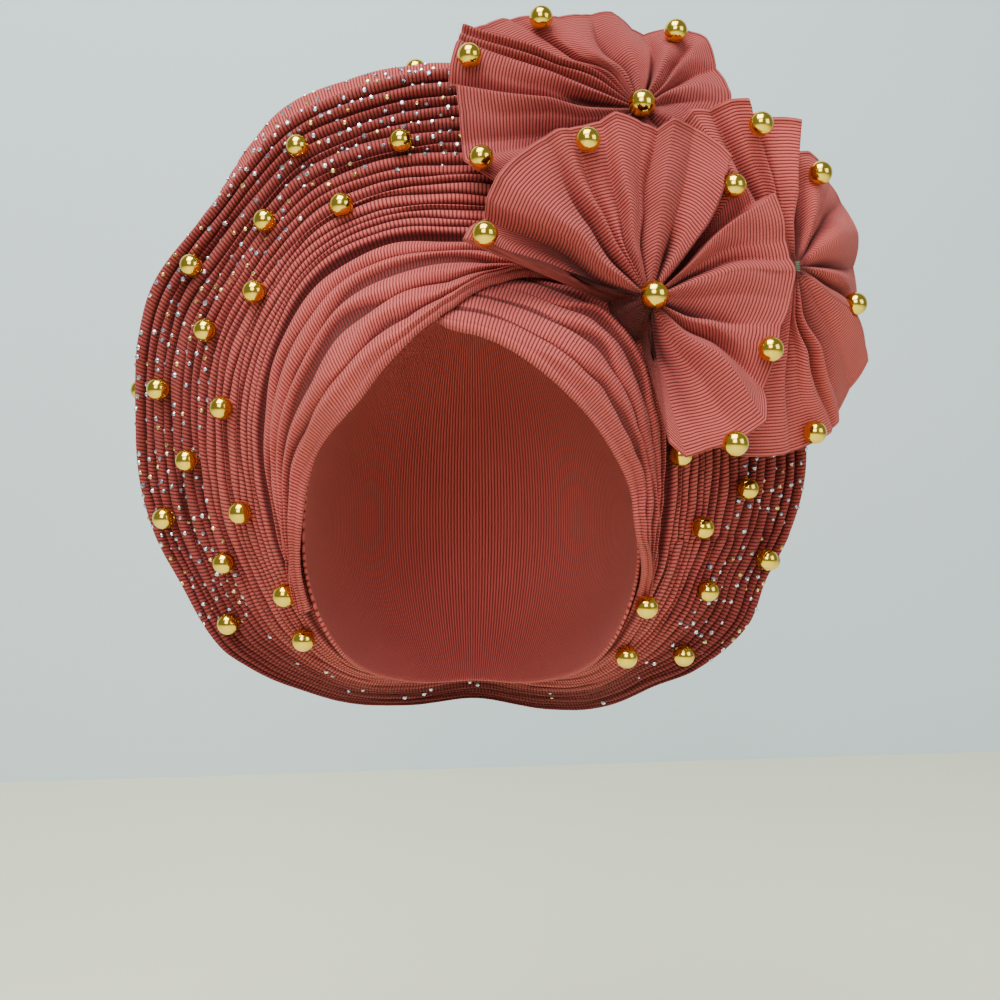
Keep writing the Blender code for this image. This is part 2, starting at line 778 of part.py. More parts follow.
def seat_ball(trees, spot, direction, radius):
    # Brings a ball in along a line from the open side until it is a clearance from the cloth
    def free(height):
        middle = spot + direction * height
        return min(tree.find_nearest(middle)[3] for tree in trees) > radius + CLEARANCE

    step = radius / 4
    outside = 6 * radius
    while free(outside - step) and outside > -6 * radius:
        outside -= step
    inside = outside - step
    for _ in range(20):
        middle = (inside + outside) / 2
        if free(middle):
            outside = middle
        else:
            inside = middle
    return spot + direction * outside


def make_ball(name, place, diameter):
    work = bmesh.new()
    bmesh.ops.create_uvsphere(
        work, u_segments=BALL_SIDES, v_segments=BALL_SIDES // 2, radius=diameter / 2
    )
    bmesh.ops.translate(work, verts=work.verts, vec=place)
    return finish_solid(name, work, GOLD, 0.3, 1.0, smooth=60)


def make_balls(cloth):
    trees = [solid_tree(solid) for solid in cloth]
    radius = BALL_DIAMETER / 2
    for number, row in enumerate(FAN_BALLS, start=1):
        reach, depth, out, forward = fan_base(row.bearing, row.share)
        spot = ring_point(row.bearing, reach, depth)
        direction = ring_point(row.bearing, reach + out, depth + forward) - spot
        make_ball(f"bead_fan_{number:02d}", seat_ball(trees, spot, direction, radius), BALL_DIAMETER)
    for number, bearing in enumerate(RIM_BALLS, start=1):
        reach, depth, out, forward = fan_base(bearing, 1.0)
        roll = max(0.0, table_value(RIM, bearing, "roll")) * ROLL_BACK
        spot = ring_point(bearing, reach + roll, depth + FAN_WALL + roll)
        direction = Vector((0, 1, 0))
        make_ball(f"bead_rim_{number:02d}", seat_ball(trees, spot, direction, radius), BALL_DIAMETER)
    frames = {row.name: (row, rosette_frame(row)) for row in ROSETTES}
    for number, row in enumerate(ROSETTE_BALLS, start=1):
        rosette, (middle, right, up, facing) = frames[row.rosette]
        angle = math.radians(row.direction)
        along = (right * math.cos(angle) + up * math.sin(angle)) * row.share * rosette.radius
        diameter = CENTRE_BALL_DIAMETER if row.share == 0 else BALL_DIAMETER
        place = seat_ball(trees, middle + along, facing, diameter / 2)
        make_ball(f"bead_rosette_{number:02d}", place, diameter)


def make_head_tie():
    for existing in list(bpy.data.objects):
        bpy.data.objects.remove(existing, do_unlink=True)
    cloth = [make_cap()] + make_wraps() + make_fan()
    carriers = list(cloth)
    for row in ROSETTES:
        cloth.append(make_rosette(row, carriers))
    make_balls(cloth)


make_head_tie()
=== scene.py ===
import math

import bmesh
import bpy
import numpy as np
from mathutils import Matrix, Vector


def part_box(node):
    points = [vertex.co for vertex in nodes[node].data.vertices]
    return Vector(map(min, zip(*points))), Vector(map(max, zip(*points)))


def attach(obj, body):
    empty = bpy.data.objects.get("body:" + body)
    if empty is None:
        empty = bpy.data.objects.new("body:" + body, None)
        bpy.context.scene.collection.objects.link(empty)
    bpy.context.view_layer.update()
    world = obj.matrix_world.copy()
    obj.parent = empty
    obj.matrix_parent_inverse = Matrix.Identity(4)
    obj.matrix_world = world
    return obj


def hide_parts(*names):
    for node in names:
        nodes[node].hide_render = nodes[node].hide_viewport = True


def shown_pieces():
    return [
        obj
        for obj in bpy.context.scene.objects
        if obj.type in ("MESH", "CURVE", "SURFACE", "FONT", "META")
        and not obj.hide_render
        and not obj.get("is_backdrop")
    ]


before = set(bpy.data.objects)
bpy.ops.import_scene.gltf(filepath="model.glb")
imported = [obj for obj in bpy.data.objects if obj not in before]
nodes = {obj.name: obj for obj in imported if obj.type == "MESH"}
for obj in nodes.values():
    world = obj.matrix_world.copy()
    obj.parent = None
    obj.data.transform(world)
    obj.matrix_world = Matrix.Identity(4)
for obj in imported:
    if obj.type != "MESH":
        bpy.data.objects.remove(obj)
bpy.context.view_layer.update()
print("frame loaded,", len(nodes), "nodes")


# Sums on sockets, for materials and geometry alike

class Wire:
    # One socket of a node tree, used in plain sums
    def __init__(self, tree, socket=None):
        self.tree = tree
        self.socket = socket

    def add(self, kind, settings=None, sockets=None, out=0):
        # Any node: its settings first, then the values or links of its sockets
        node = self.tree.nodes.new(kind)
        for name, value in (settings or {}).items():
            if name == "stops":
                for stop in range(len(value) - len(node.color_ramp.elements)):
                    node.color_ramp.elements.new(0.5)
                for stop, (place, colour) in zip(node.color_ramp.elements, value):
                    stop.position, stop.color = place, (*colour, 1)
            else:
                setattr(node, name, value)
        for name, value in (sockets or {}).items():
            if isinstance(value, Wire):
                self.tree.links.new(value.socket, node.inputs[name])
            else:
                node.inputs[name].default_value = value
        return Wire(self.tree, node.outputs[out])

    def of(self, name):
        # Another output of the same node
        return Wire(self.tree, self.socket.node.outputs[name])

    def math(self, operation, *others):
        return self.add("ShaderNodeMath", {"operation": operation}, dict(enumerate((self, *others))))

    def vector(self, operation, *others, out=0):
        sockets = dict(enumerate((self, *others)))
        if operation == "SCALE":
            sockets = {0: self, "Scale": others[0]}
        return self.add("ShaderNodeVectorMath", {"operation": operation}, sockets, out)

    def mix(self, first, second):
        # Between two colours, with this socket as the share of the second
        sockets = {0: self, 6: first, 7: second}
        return self.add("ShaderNodeMix", {"data_type": "RGBA"}, sockets, 2)

    def clamped(self):
        return self.add("ShaderNodeClamp", sockets={0: self})

    def __add__(self, other):
        return self.math("ADD", other)

    def __radd__(self, other):
        return self.math("ADD", other)

    def __mul__(self, other):
        return self.math("MULTIPLY", other)

    def __rmul__(self, other):
        return self.math("MULTIPLY", other)

    def __sub__(self, other):
        return self.math("SUBTRACT", other)

    def __rsub__(self, other):
        return self.add("ShaderNodeMath", {"operation": "SUBTRACT"}, {0: other, 1: self})

    def __truediv__(self, other):
        return self.math("DIVIDE", other)

    def __pow__(self, other):
        return self.math("POWER", other)


def startMaterial(name):
    material = bpy.data.materials.new(name)
    material.use_nodes = True
    shader = material.node_tree.nodes["Principled BSDF"]
    return material, Wire(material.node_tree), shader


def feed(wire, shader, name):
    wire.tree.links.new(wire.socket, shader.inputs[name])


# Materials

clothLook = {
    "pitch": 0.00145,  # from one cord to the next
    # Painted light on each cord: top is its lighter crest, side its flanks, and the groove colour is painted shade
    # between cords
    "top": (0.56, 0.099, 0.088),
    "side": (0.30, 0.033, 0.028),
    "paintedGrooveShade": (0.100, 0.010, 0.009),
    "paintedShadeTint": (0.17, 0.06, 0.07),  # painted shade: what is left of the colour deep in a fold
    "relief": 0.00050,
    "threadsPerCord": 3.4,
}


def clothMaterial():
    look = clothLook
    material, start, shader = startMaterial("cordedCloth")
    where = start.add("ShaderNodeTexCoord").of("Object")
    cordMap = start.add("ShaderNodeUVMap", {"uv_map": "cordMap"})
    place = start.add("ShaderNodeSeparateXYZ", sockets={0: cordMap})
    patchy = start.add("ShaderNodeTexNoise", sockets={"Vector": where, "Scale": 26.0, "Detail": 3.0})
    fuzz = start.add("ShaderNodeTexNoise", sockets={"Vector": where, "Scale": 2600.0, "Detail": 2.0})
    slubs = start.add("ShaderNodeTexNoise", sockets={"Vector": cordMap, "Scale": 0.35, "Detail": 2.0})
    wobble = (slubs - 0.5) * 0.30
    cord = (place.of("X") + wobble).math("FRACT")
    across = cord * 2 - 1
    ridge = (1 - across * across) ** 0.5
    turns = place.of("Y") * (2 * math.pi * look["threadsPerCord"]) + cord * 4.0
    thread = turns.math("SINE") * 0.5 + 0.5
    height = ridge + ridge * thread * 0.16 + fuzz * 0.12
    relief = start.add("ShaderNodeBump", sockets={
        "Strength": 0.95, "Distance": look["relief"], "Height": height,
    })
    # The cord's colour runs from painted shade in the groove up its flanks to a painted lighter top
    side = (ridge ** 2.2).mix((*look["paintedGrooveShade"], 1), (*look["side"], 1))
    body = ((ridge - 0.55) * 2.2).clamped().mix(side, (*look["top"], 1))
    # This attribute is painted shade per point: it darkens the colour in folds and creases and over pieces in
    # shadow
    hollow = start.add("ShaderNodeAttribute", {"attribute_name": "hollow"}).of("Fac")
    deep = start.add("ShaderNodeMix", {"data_type": "RGBA", "blend_type": "MULTIPLY"}, {
        0: hollow, 6: body, 7: (*look["paintedShadeTint"], 1),
    }, 2)
    # Random patches and fuzz vary the tone; the thread crests are painted lighter too, as painted light
    light = 0.86 + patchy * 0.16 + thread * 0.10 + fuzz * 0.10
    shade = deep.vector("SCALE", light)
    feed(shade, shader, "Base Color")
    feed(0.68 + fuzz * 0.2, shader, "Roughness")
    feed(relief, shader, "Normal")
    shader.inputs["Sheen Weight"].default_value = 0.10
    shader.inputs["Sheen Roughness"].default_value = 0.45
    shader.inputs["Sheen Tint"].default_value = (1.0, 0.72, 0.66, 1)
    shader.inputs["Specular IOR Level"].default_value = 0.25
    return material


goldLook = {"colour": (0.90, 0.66, 0.09), "shade": (0.78, 0.52, 0.05), "roughness": 0.09}


def goldMaterial():
    look = goldLook
    material, start, shader = startMaterial("gildedBall")
    where = start.add("ShaderNodeTexCoord").of("Object")
    cloudy = start.add("ShaderNodeTexNoise", sockets={"Vector": where, "Scale": 140.0, "Detail": 3.0})
    rubbed = start.add("ShaderNodeTexNoise", sockets={"Vector": where, "Scale": 900.0, "Detail": 2.0})
    feed(cloudy.mix((*look["shade"], 1), (*look["colour"], 1)), shader, "Base Color")
    feed(look["roughness"] + rubbed * 0.10, shader, "Roughness")
    relief = start.add("ShaderNodeBump", sockets={
        "Strength": 0.25, "Distance": 0.00008, "Height": rubbed,
    })
    feed(relief, shader, "Normal")
    shader.inputs["Metallic"].default_value = 1.0
    return material


def stoneMaterial(name, pale, deep):
    material, start, shader = startMaterial(name)
    where = start.add("ShaderNodeTexCoord").of("Object")
    glints = start.add("ShaderNodeTexNoise", sockets={"Vector": where, "Scale": 420.0, "Detail": 1.0})
    share = ((glints - 0.35) * 3.0).clamped()
    feed(share.mix((*pale, 1), (*deep, 1)), shader, "Base Color")
    feed(0.05 + glints * 0.08, shader, "Roughness")
    shader.inputs["Metallic"].default_value = 0.85
    shader.inputs["Coat Weight"].default_value = 1.0
    shader.inputs["Coat Roughness"].default_value = 0.03
    return material


threadLook = {"colour": (0.17, 0.20, 0.13), "shade": (0.08, 0.10, 0.06)}


def threadMaterial():
    look = threadLook
    material, start, shader = startMaterial("tyingThread")
    where = start.add("ShaderNodeTexCoord").of("Object")
    fibres = start.add("ShaderNodeTexNoise", sockets={"Vector": where, "Scale": 3500.0, "Detail": 3.0})
    feed(fibres.mix((*look["shade"], 1), (*look["colour"], 1)), shader, "Base Color")
    feed(0.75 + fibres * 0.2, shader, "Roughness")
    relief = start.add("ShaderNodeBump", sockets={
        "Strength": 0.6, "Distance": 0.0001, "Height": fibres,
    })
    feed(relief, shader, "Normal")
    return material


cordedCloth = clothMaterial()
gildedBall = goldMaterial()
clearStone = stoneMaterial("clearStone", (0.82, 0.86, 0.92), (0.26, 0.29, 0.44))
goldStone = stoneMaterial("goldStone", (0.92, 0.70, 0.30), (0.56, 0.31, 0.09))
tyingThread = threadMaterial()
print("materials made")


# Curves through short tables

def smooth(rows, column, bearing, closed=True):
    # A smooth curve through one column of a table, round the circle or held at its ends
    bearing = np.asarray(bearing, float)
    places = [row[0] for row in rows]
    values = [row[column] for row in rows]
    if closed:
        places = np.array([places[-1] - 360, *places, places[0] + 360, places[1] + 360])
        values = np.array([values[-1], *values, values[0], values[1]])
        bearing = places[1] + (bearing - places[1]) % 360
    else:
        places = np.array([places[0] - 1, *places, places[-1] + 1])
        values = np.array([values[0], *values, values[-1]])
        bearing = np.clip(bearing, places[1], places[-2])
    index = np.clip(np.searchsorted(places, bearing, side="right") - 1, 1, len(places) - 3)
    b0, b1, b2, b3 = (places[index + step] for step in (-1, 0, 1, 2))
    v0, v1, v2, v3 = (values[index + step] for step in (-1, 0, 1, 2))
    share = np.clip((bearing - b1) / (b2 - b1), 0, 1)
    leave = (v2 - v0) / (b2 - b0) * (b2 - b1)
    arrive = (v3 - v1) / (b3 - b1) * (b2 - b1)
    square, cube = share ** 2, share ** 3
    return (
        (2 * cube - 3 * square + 1) * v1 + (cube - 2 * square + share) * leave
        + (3 * square - 2 * cube) * v2 + (cube - square) * arrive
    )


def ripple(seed, *ways, size=1.0):
    # Smooth wandering between about -1 and 1, from a few sine waves with fixed phases
    draws = np.random.default_rng(seed)
    total, weight = 0.0, 0.0
    for octave in range(4):
        phase = draws.uniform(0, 2 * np.pi)
        turns = [draws.uniform(0.6, 1.4) * (1.7 ** octave) / size for way in ways]
        total = total + np.sin(sum(turn * way for turn, way in zip(turns, ways)) + phase) / 1.5 ** octave
        weight += 1 / 1.5 ** octave
    return total / weight * 1.4


# The head and the lines on it

head = {"halfWidth": 0.074, "halfDepth": 0.097, "crown": 0.115, "nape": 0.090}
capWall = 0.002
clearance = 0.0003
seat = capWall + clearance + head["halfDepth"] * (1 - math.cos(math.radians(5)))

collarStand = 0.034
# bearing, stand, depth, share of the stand that the under band keeps
collarTable = [
    (5, 0.35, -0.08, 1.0), (20, 0.48, -0.10, 1.0), (35, 0.66, -0.12, 1.0), (50, 0.80, -0.13, 1.0),
    (60, 0.80, -0.14, 0.93), (72, 0.66, -0.15, 0.70), (84, 0.56, -0.155, 0.55),
    (94, 0.60, -0.155, 0.42), (106, 0.82, -0.15, 0.30), (120, 1.00, -0.14, 0.25),
    (133, 0.95, -0.12, 0.25), (150, 0.78, -0.11, 0.25), (166, 0.56, -0.10, 0.25),
    (180, 0.38, -0.08, 0.25), (193, 0.22, -0.06, 0.25), (205, 0.13, -0.01, 0.25),
    (225, 0.11, 0.20, 0.25), (248, 0.11, 0.55, 0.25), (270, 0.11, 0.70, 0.25),
    (292, 0.11, 0.55, 0.25), (315, 0.11, 0.20, 0.25), (336, 0.12, -0.02, 1.0),
    (351, 0.25, -0.06, 1.0),
]
# bearing, width, lean, roll past the rim
rimTable = [
    (0, 0.79, 1.00, 0.0), (9, 0.85, 0.98, 0.0), (17, 0.87, 0.96, 0.0), (30, 0.93, 0.95, 0.0),
    (45, 0.97, 0.93, 0.0), (62, 0.96, 0.88, 0.0), (80, 0.97, 0.83, 0.1), (93, 0.94, 0.81, 0.45),
    (105, 0.88, 0.85, 0.9), (114, 0.86, 0.88, 1.0), (121, 0.80, 0.90, 0.8), (127, 0.79, 0.92, 0.2),
    (133, 0.82, 0.93, 0.0), (142, 0.89, 0.95, 0.0), (150, 0.88, 0.97, 0.0), (160, 0.84, 1.00, 0.0),
    (171, 0.82, 1.00, 0.0), (181, 0.77, 1.00, 0.0), (190, 0.70, 0.95, 0.0), (204, 0.63, 0.85, 0.0),
    (212, 0.53, 0.78, 0.0), (225, 0.37, 0.68, 0.0), (240, 0.30, 0.60, 0.0), (270, 0.29, 0.58, 0.0),
    (300, 0.33, 0.60, 0.0), (318, 0.39, 0.68, 0.0), (328, 0.54, 0.80, 0.0), (341, 0.69, 0.92, 0.0),
    (351, 0.70, 0.97, 0.0),
]
fanWidth, fanLean, fanFlare, rollBack = 0.085, 0.043, 1.6, 0.0075
fanWall, backWall = 0.002, 0.002
# bearing, edge towards the face, back edge of the fan's plain cloth
capTable = [
    (0, -0.30, 0.74), (20, -0.38, 0.74), (45, -0.55, 0.74), (70, -0.63, 0.74), (90, -0.58, 0.74),
    (110, -0.61, 0.74), (135, -0.50, 0.74), (160, -0.33, 0.74), (180, -0.24, 0.74),
    (200, -0.08, 0.76), (222, 0.08, 0.80), (246, 0.40, 0.86), (270, 0.55, 0.88), (294, 0.40, 0.86),
    (318, 0.08, 0.80), (340, -0.08, 0.76),
]


def headReach(bearing, off, depth):
    # From the middle of the head to its surface grown by off, at a depth
    angle = np.radians(bearing)
    height = np.where(np.sin(angle) >= 0, head["crown"], head["nape"])
    widest = 1 / np.hypot(np.cos(angle) / (head["halfWidth"] + off), np.sin(angle) / (height + off))
    return widest * np.sqrt(np.maximum(0, 1 - (depth / (head["halfDepth"] + off)) ** 2))


def ringPoint(bearing, reach, depth):
    angle = np.radians(bearing)
    bearing, reach, depth = np.broadcast_arrays(angle, reach, depth)
    return np.stack((reach * np.cos(bearing), depth, reach * np.sin(bearing) - head["crown"]), axis=-1)


def collarAt(bearing):
    stand = np.maximum(smooth(collarTable, 1, bearing) * collarStand, seat + clearance)
    depth = smooth(collarTable, 2, bearing) * head["halfDepth"]
    return stand, depth


def fanBase(bearing, share):
    # Reach and depth of the pleats' valleys, and the direction that their ridges rise in
    stand, depth = collarAt(bearing)
    width = smooth(rimTable, 1, bearing) * fanWidth
    lean = smooth(rimTable, 2, bearing) * fanLean
    reach = headReach(bearing, stand, depth) + clearance + width * share
    slope = lean * fanFlare * (1 - np.minimum(share, 0.999)) ** (fanFlare - 1)
    length = np.hypot(width, slope)
    depth = depth + lean * (1 - (1 - np.minimum(share, 1.0)) ** fanFlare)
    return reach, depth, slope / length, -width / length


# Making cloth pieces

def lengthAlong(points, axis=0):
    steps = np.linalg.norm(np.diff(points, axis=axis), axis=-1)
    start = np.zeros_like(np.take(steps, [0], axis=axis))
    return np.concatenate((start, np.cumsum(steps, axis=axis)), axis=axis)


def clothMesh(name, points, cords, hollow, closedColumns=False, closedRows=False, poles=False,
              extra=None):
    # points: columns by rows. cords: for each strip between two rows, the cord and thread
    # counts at its low and high row, columns (one more if closed) by strips by 2 by 2
    columns, rows = points.shape[:2]
    strips = rows if closedRows else rows - 1
    spans = columns if closedColumns else columns - 1
    column, strip = np.meshgrid(np.arange(spans), np.arange(strips), indexing="ij")
    after, above = (column + 1) % columns, (strip + 1) % rows
    corners = np.stack((
        column * rows + strip, after * rows + strip, after * rows + above, column * rows + above,
    ), axis=-1).reshape(-1, 4)
    flow = np.stack((
        cords[column, strip, 0], cords[column + 1, strip, 0],
        cords[column + 1, strip, 1], cords[column, strip, 1],
    ), axis=2).reshape(-1, 2)
    faces = corners.tolist()
    vertices = points.reshape(-1, 3)
    values = np.broadcast_to(hollow, (columns, rows)).reshape(-1)
    if poles:
        # A fan of triangles at each end, round one more vertex
        for row in (0, rows - 1):
            hub = len(vertices)
            vertices = np.vstack((vertices, points[:, row].mean(axis=0)))
            values = np.append(values, values.reshape(-1)[row])
            edge = 0 if row == 0 else 1
            strip = 0 if row == 0 else strips - 1
            for place in range(spans):
                here, there = place * rows + row, (place + 1) % columns * rows + row
                faces.append([there, here, hub] if row == 0 else [here, there, hub])
                a, b = cords[place, strip, edge], cords[place + 1, strip, edge]
                ends = (b, a, (a + b) / 2) if row == 0 else (a, b, (a + b) / 2)
                flow = np.vstack((flow, ends)) if place == 0 and row == 0 else np.append(flow, ends, 0)
    mesh = bpy.data.meshes.new(name)
    mesh.from_pydata(vertices.tolist(), [], faces)
    layer = mesh.uv_layers.new(name="cordMap")
    layer.data.foreach_set("uv", np.asarray(flow, np.float32).ravel())
    attribute = mesh.attributes.new("hollow", "FLOAT", "POINT")
    attribute.data.foreach_set("value", np.clip(values, 0, 1).astype(np.float32))
    for key, array in (extra or {}).items():
        kind = "FLOAT_VECTOR" if array.ndim == 3 else "FLOAT"
        more = mesh.attributes.new(key, kind, "POINT")
        field = "vector" if array.ndim == 3 else "value"
        more.data.foreach_set(field, array.astype(np.float32).ravel())
    mesh.materials.append(cordedCloth)
    mesh.validate()
    piece = bpy.data.objects.new(name, mesh)
    bpy.context.scene.collection.objects.link(piece)
    turnOutwards(piece)
    return piece


def turnOutwards(piece):
    work = bmesh.new()
    work.from_mesh(piece.data)
    bmesh.ops.recalc_face_normals(work, faces=work.faces)
    work.to_mesh(piece.data)
    work.free()
    piece.data.shade_smooth()


def cordsFrom(along, across):
    # Cord counts from lengths: along is counted in cords, across in threads along a cord
    pitch = clothLook["pitch"]
    low = np.stack((along[:, :-1], across[:, :-1]), axis=-1)
    high = np.stack((along[:, 1:], across[:, 1:]), axis=-1)
    return np.stack((low, high), axis=2) / pitch


def settle(piece, slot="corded_cloth", *replaced):
    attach(piece, "root")
    if replaced:
        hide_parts(*replaced)
    return piece


# The close cap

cap = {"columns": 160, "rows": 60, "drawnBack": 0.085}


def makeCap():
    bearing = np.linspace(0, 360, cap["columns"], endpoint=False)[:, None]
    # Under the bands its edge lies a little further back, so that it doesn't show past theirs
    covered = np.clip((bearing + 25) / 30, 0, 1) * np.clip((205 - bearing) / 30, 0, 1)
    covered = np.maximum(covered, np.clip((bearing - 335) / 30, 0, 1))
    edge = np.degrees(np.arccos(-smooth(capTable, 1, bearing) - cap["drawnBack"] * covered))
    lines = []
    for off, shares in (
        (0.0, np.linspace(0.07, 1.0, cap["rows"]) ** 2 * 0.5 + np.linspace(0.0, 0.5, cap["rows"])),
        (capWall, np.linspace(1.0, 0.07, cap["rows"]) ** 2 * 0.5 + np.linspace(0.5, 0.0, cap["rows"])),
    ):
        angle = np.radians(180 - (180 - edge) * shares[None, :])
        depth = -(head["halfDepth"] + off) * np.cos(angle)
        inset = 0.0003 + 0.0002 * ripple(3, bearing / 14, shares[None, :] * 9)
        lift = np.where(off > 0, -inset, inset)
        lines.append(ringPoint(bearing, headReach(bearing, off, depth) + lift * np.sin(angle), depth))
    points = np.concatenate(lines, axis=1)
    # Cords run up and down inside it, and meet at the crown
    around = np.arctan2(points[..., 0], points[..., 1]) * 0.085
    along = np.vstack((around, around[:1]))
    down = np.vstack((points[..., 2], points[:1, :, 2]))
    # The cap gets a little painted shade all over
    piece = clothMesh("capCloth", points, cordsFrom(along, down), 0.15, closedColumns=True, poles=True)
    settle(piece, "corded_cloth", "cap")
    return piece


# The two bands over the forehead

band = {
    "folds": 5, "rise": 0.0018, "rollShare": 0.5, "wall": 0.003,
    "columns": 240, "rowsPerFold": 20, "bulge": 0.0013, "tuck": 0.0022, "spread": 0.75,
    "dusk": {"leftBand": 0.0, "rightBand": 0.14},  # painted shade: how much darker than the cloth in full light
}
# bearing, depth of the edge towards the face
leftEdge = [
    (67, -0.175), (74, -0.24), (82, -0.40), (88, -0.52), (94, -0.62), (106, -0.68), (121, -0.66),
    (131, -0.61), (140, -0.53), (148, -0.45), (157, -0.40), (171, -0.37), (180, -0.31),
    (190, -0.22), (203, -0.10),
]
rightEdge = [
    (-18, -0.12), (-12, -0.19), (-5, -0.30), (3, -0.41), (11, -0.45), (19, -0.45), (26, -0.49),
    (36, -0.56), (49, -0.63), (61, -0.68), (75, -0.70), (90, -0.67), (95, -0.64), (98, -0.59),
]
bandBase = seat + band["wall"]


def bandClimb(share):
    fold, along = np.divmod(np.clip(share, 0, 1) ** band["spread"] * band["folds"], 1.0)
    roll = np.sqrt(1 - (1 - np.minimum(along / band["rollShare"], 1.0)) ** 2)
    return np.where(fold < band["folds"], (fold + roll) / band["folds"], 1.0)


def rightStand(bearing, share):
    stand, depth = collarAt(bearing)
    full = stand * smooth(collarTable, 3, bearing) - band["wall"]
    top = np.maximum(full, bandBase + band["rise"])
    return bandBase + (top - bandBase) * bandClimb(share)


def rightCover(bearing, depth):
    # The height that clears the whole under band near one spot
    edge = smooth(rightEdge, 1, bearing, closed=False) * head["halfDepth"]
    end = collarAt(bearing)[1] - clearance
    ahead = np.minimum(1.0, (depth - edge) / (end - edge) + 1 / band["folds"])
    sag = head["halfDepth"] * (1 - math.cos(math.radians(5)))
    past = np.clip((bearing - rightEdge[-1][0] - 1) / 28, 0, 1)
    over = rightStand(bearing, ahead) + clearance + sag
    return over + (seat - over) * past * past * (3 - 2 * past)


def leftStand(bearing, share, depth):
    top = np.maximum(collarAt(bearing)[0] - band["wall"], bandBase + band["rise"])
    own = bandBase + (top - bandBase) * bandClimb(share)
    return np.maximum(own, rightCover(bearing, depth) + band["wall"])


def makeBand(name, edgeRows, standOf, floorOf, seed, calm, replaced):
    low, high = edgeRows[0][0], edgeRows[-1][0]
    bearing = np.linspace(low, high, band["columns"])[:, None]
    edge = smooth(edgeRows, 1, bearing, closed=False) * head["halfDepth"]
    end = collarAt(bearing)[1] - clearance - 0.0002
    steps = np.concatenate((np.linspace(0, 0.3, 7)[:-1], np.linspace(0.3, 1, band["rowsPerFold"] - 6)[:-1]))
    shares = np.concatenate([fold + steps for fold in range(band["folds"])] + [[band["folds"]]])
    fold = np.minimum(np.floor(shares + 1e-9), band["folds"] - 1)
    within = (shares - fold)[None, :]
    wander = 0.17 * ripple(seed, bearing / 13, fold[None, :] * 2.1) * (fold[None, :] > 0)
    share = np.clip((shares[None, :] + wander * (1 - within)) / band["folds"], 0, 1) ** (1 / band["spread"])
    depth = edge + (end - edge) * share
    quiet = calm(bearing)
    # Each fold crowns in its middle, dips to the next crease and laps a little over the last one
    crown = np.sin(np.pi * np.clip(within, 0, 1) ** 0.6)
    dip = np.clip((within - 0.84) / 0.16, 0, 1) ** 2
    stand = standOf(bearing, share, depth)
    lap = -band["tuck"] * np.sin(np.pi * np.clip(within / 0.3, 0, 1)) + band["tuck"] * dip
    outer = stand + quiet * band["bulge"] * (crown - 1.3 * dip + 0.55 * ripple(
        seed + 1, bearing / 9, shares[None, :] * 0.8))
    outer = np.maximum(outer, seat + 0.0012)
    front = ringPoint(bearing, headReach(bearing, outer, depth), depth + quiet * lap * (shares > 0.01))
    lag = np.minimum(share, band["wall"] / (end - edge))
    floor = floorOf(bearing, share - lag, depth)
    back = ringPoint(bearing, headReach(bearing, floor, depth), depth)
    # A rounded lip joins the two at the edge towards the face
    turn = np.linspace(0, np.pi, 8)[None, 1:-1]
    lipDepth = edge - 0.0016 * np.sin(turn)
    mid, half = (outer[:, :1] + floor[:, :1]) / 2, (outer[:, :1] - floor[:, :1]) / 2
    lip = ringPoint(bearing, headReach(bearing, mid - half * np.cos(turn), edge + 0 * turn), lipDepth)
    points = np.concatenate((back[:, ::-1], lip, front), axis=1)
    count = front.shape[1]
    middle = (shares[None, :] - fold[None, :])
    # Painted shade along each crease but the first, towards the end of each fold, over the whole band by its dusk,
    # and a little on the lip and the under rows
    hollow = np.clip(1 - middle / 0.03, 0, 1) * 0.7 * (shares[None, :] > 0.5)
    hollow = np.maximum(hollow, np.clip((middle - 0.80) / 0.15, 0, 1) ** 1.3)
    hollow = np.maximum(hollow, band["dusk"][name])
    hollow = np.concatenate((np.full((1, count + lip.shape[1]), 0.1), hollow), axis=1)
    run = lengthAlong(front, axis=0)
    strips = np.arange(points.shape[1] - 1) - count - lip.shape[1]
    owner = np.clip(np.floor(shares[np.clip(strips, 0, count - 1)] + 1e-9), 0, band["folds"] - 1)
    centre = [int(np.argmin(np.abs(shares - (number + 0.5)))) for number in range(band["folds"])]
    along = run[:, [centre[int(number)] for number in owner]] + owner[None, :] * 0.00047
    across = lengthAlong(points, axis=1)
    slant = 0.10
    lowRow = np.stack((along + slant * across[:, :-1], across[:, :-1]), axis=-1)
    highRow = np.stack((along + slant * across[:, 1:], across[:, 1:]), axis=-1)
    cords = np.stack((lowRow, highRow), axis=2) / clothLook["pitch"]
    # The rows run from the hidden back edge round the lip to the outer back edge, and close there
    shut = np.stack((cords[:, -1, 1], cords[:, 0, 0]), axis=1)[:, None]
    cords = np.concatenate((cords, shut), axis=1)
    piece = clothMesh(name, points, cords, hollow, closedRows=True)
    closeEnds(piece, points.shape[0], points.shape[1], count, lip.shape[1])
    settle(piece, "corded_cloth", replaced)
    return piece


def closeEnds(piece, columns, rows, count, lipRows):
    # Both ends of a band are shut between its under and upper rows
    work = bmesh.new()
    work.from_mesh(piece.data)
    work.verts.ensure_lookup_table()
    for column in (0, columns - 1):
        start = column * rows
        for step in range(count - 1):
            under, over = start + count - 1 - step, start + count + lipRows + step
            corners = [under, over, over + 1, under - 1]
            work.faces.new([work.verts[corner] for corner in corners])
        lip = range(start + count - 1, start + count + lipRows + 1)
        work.faces.new([work.verts[corner] for corner in lip])
    bmesh.ops.recalc_face_normals(work, faces=work.faces)
    work.to_mesh(piece.data)
    work.free()
    piece.data.shade_smooth()


# The pleated fan

fan = {
    "columns": 460, "steps": [0.0, 0.07, 0.16, 0.30, 0.50, 0.70, 0.84, 0.93],
    "pleatHeight": 0.0048, "unevenness": 0.42, "seed": 11, "narrowest": 0.6,
    "coarser": 1.22,  # the cords stand wider where the cloth is pleated
    "dusk": 0.54, "lowDusk": 0.62,  # painted shade: how much darker the pleats near the rim, and low down, are
}
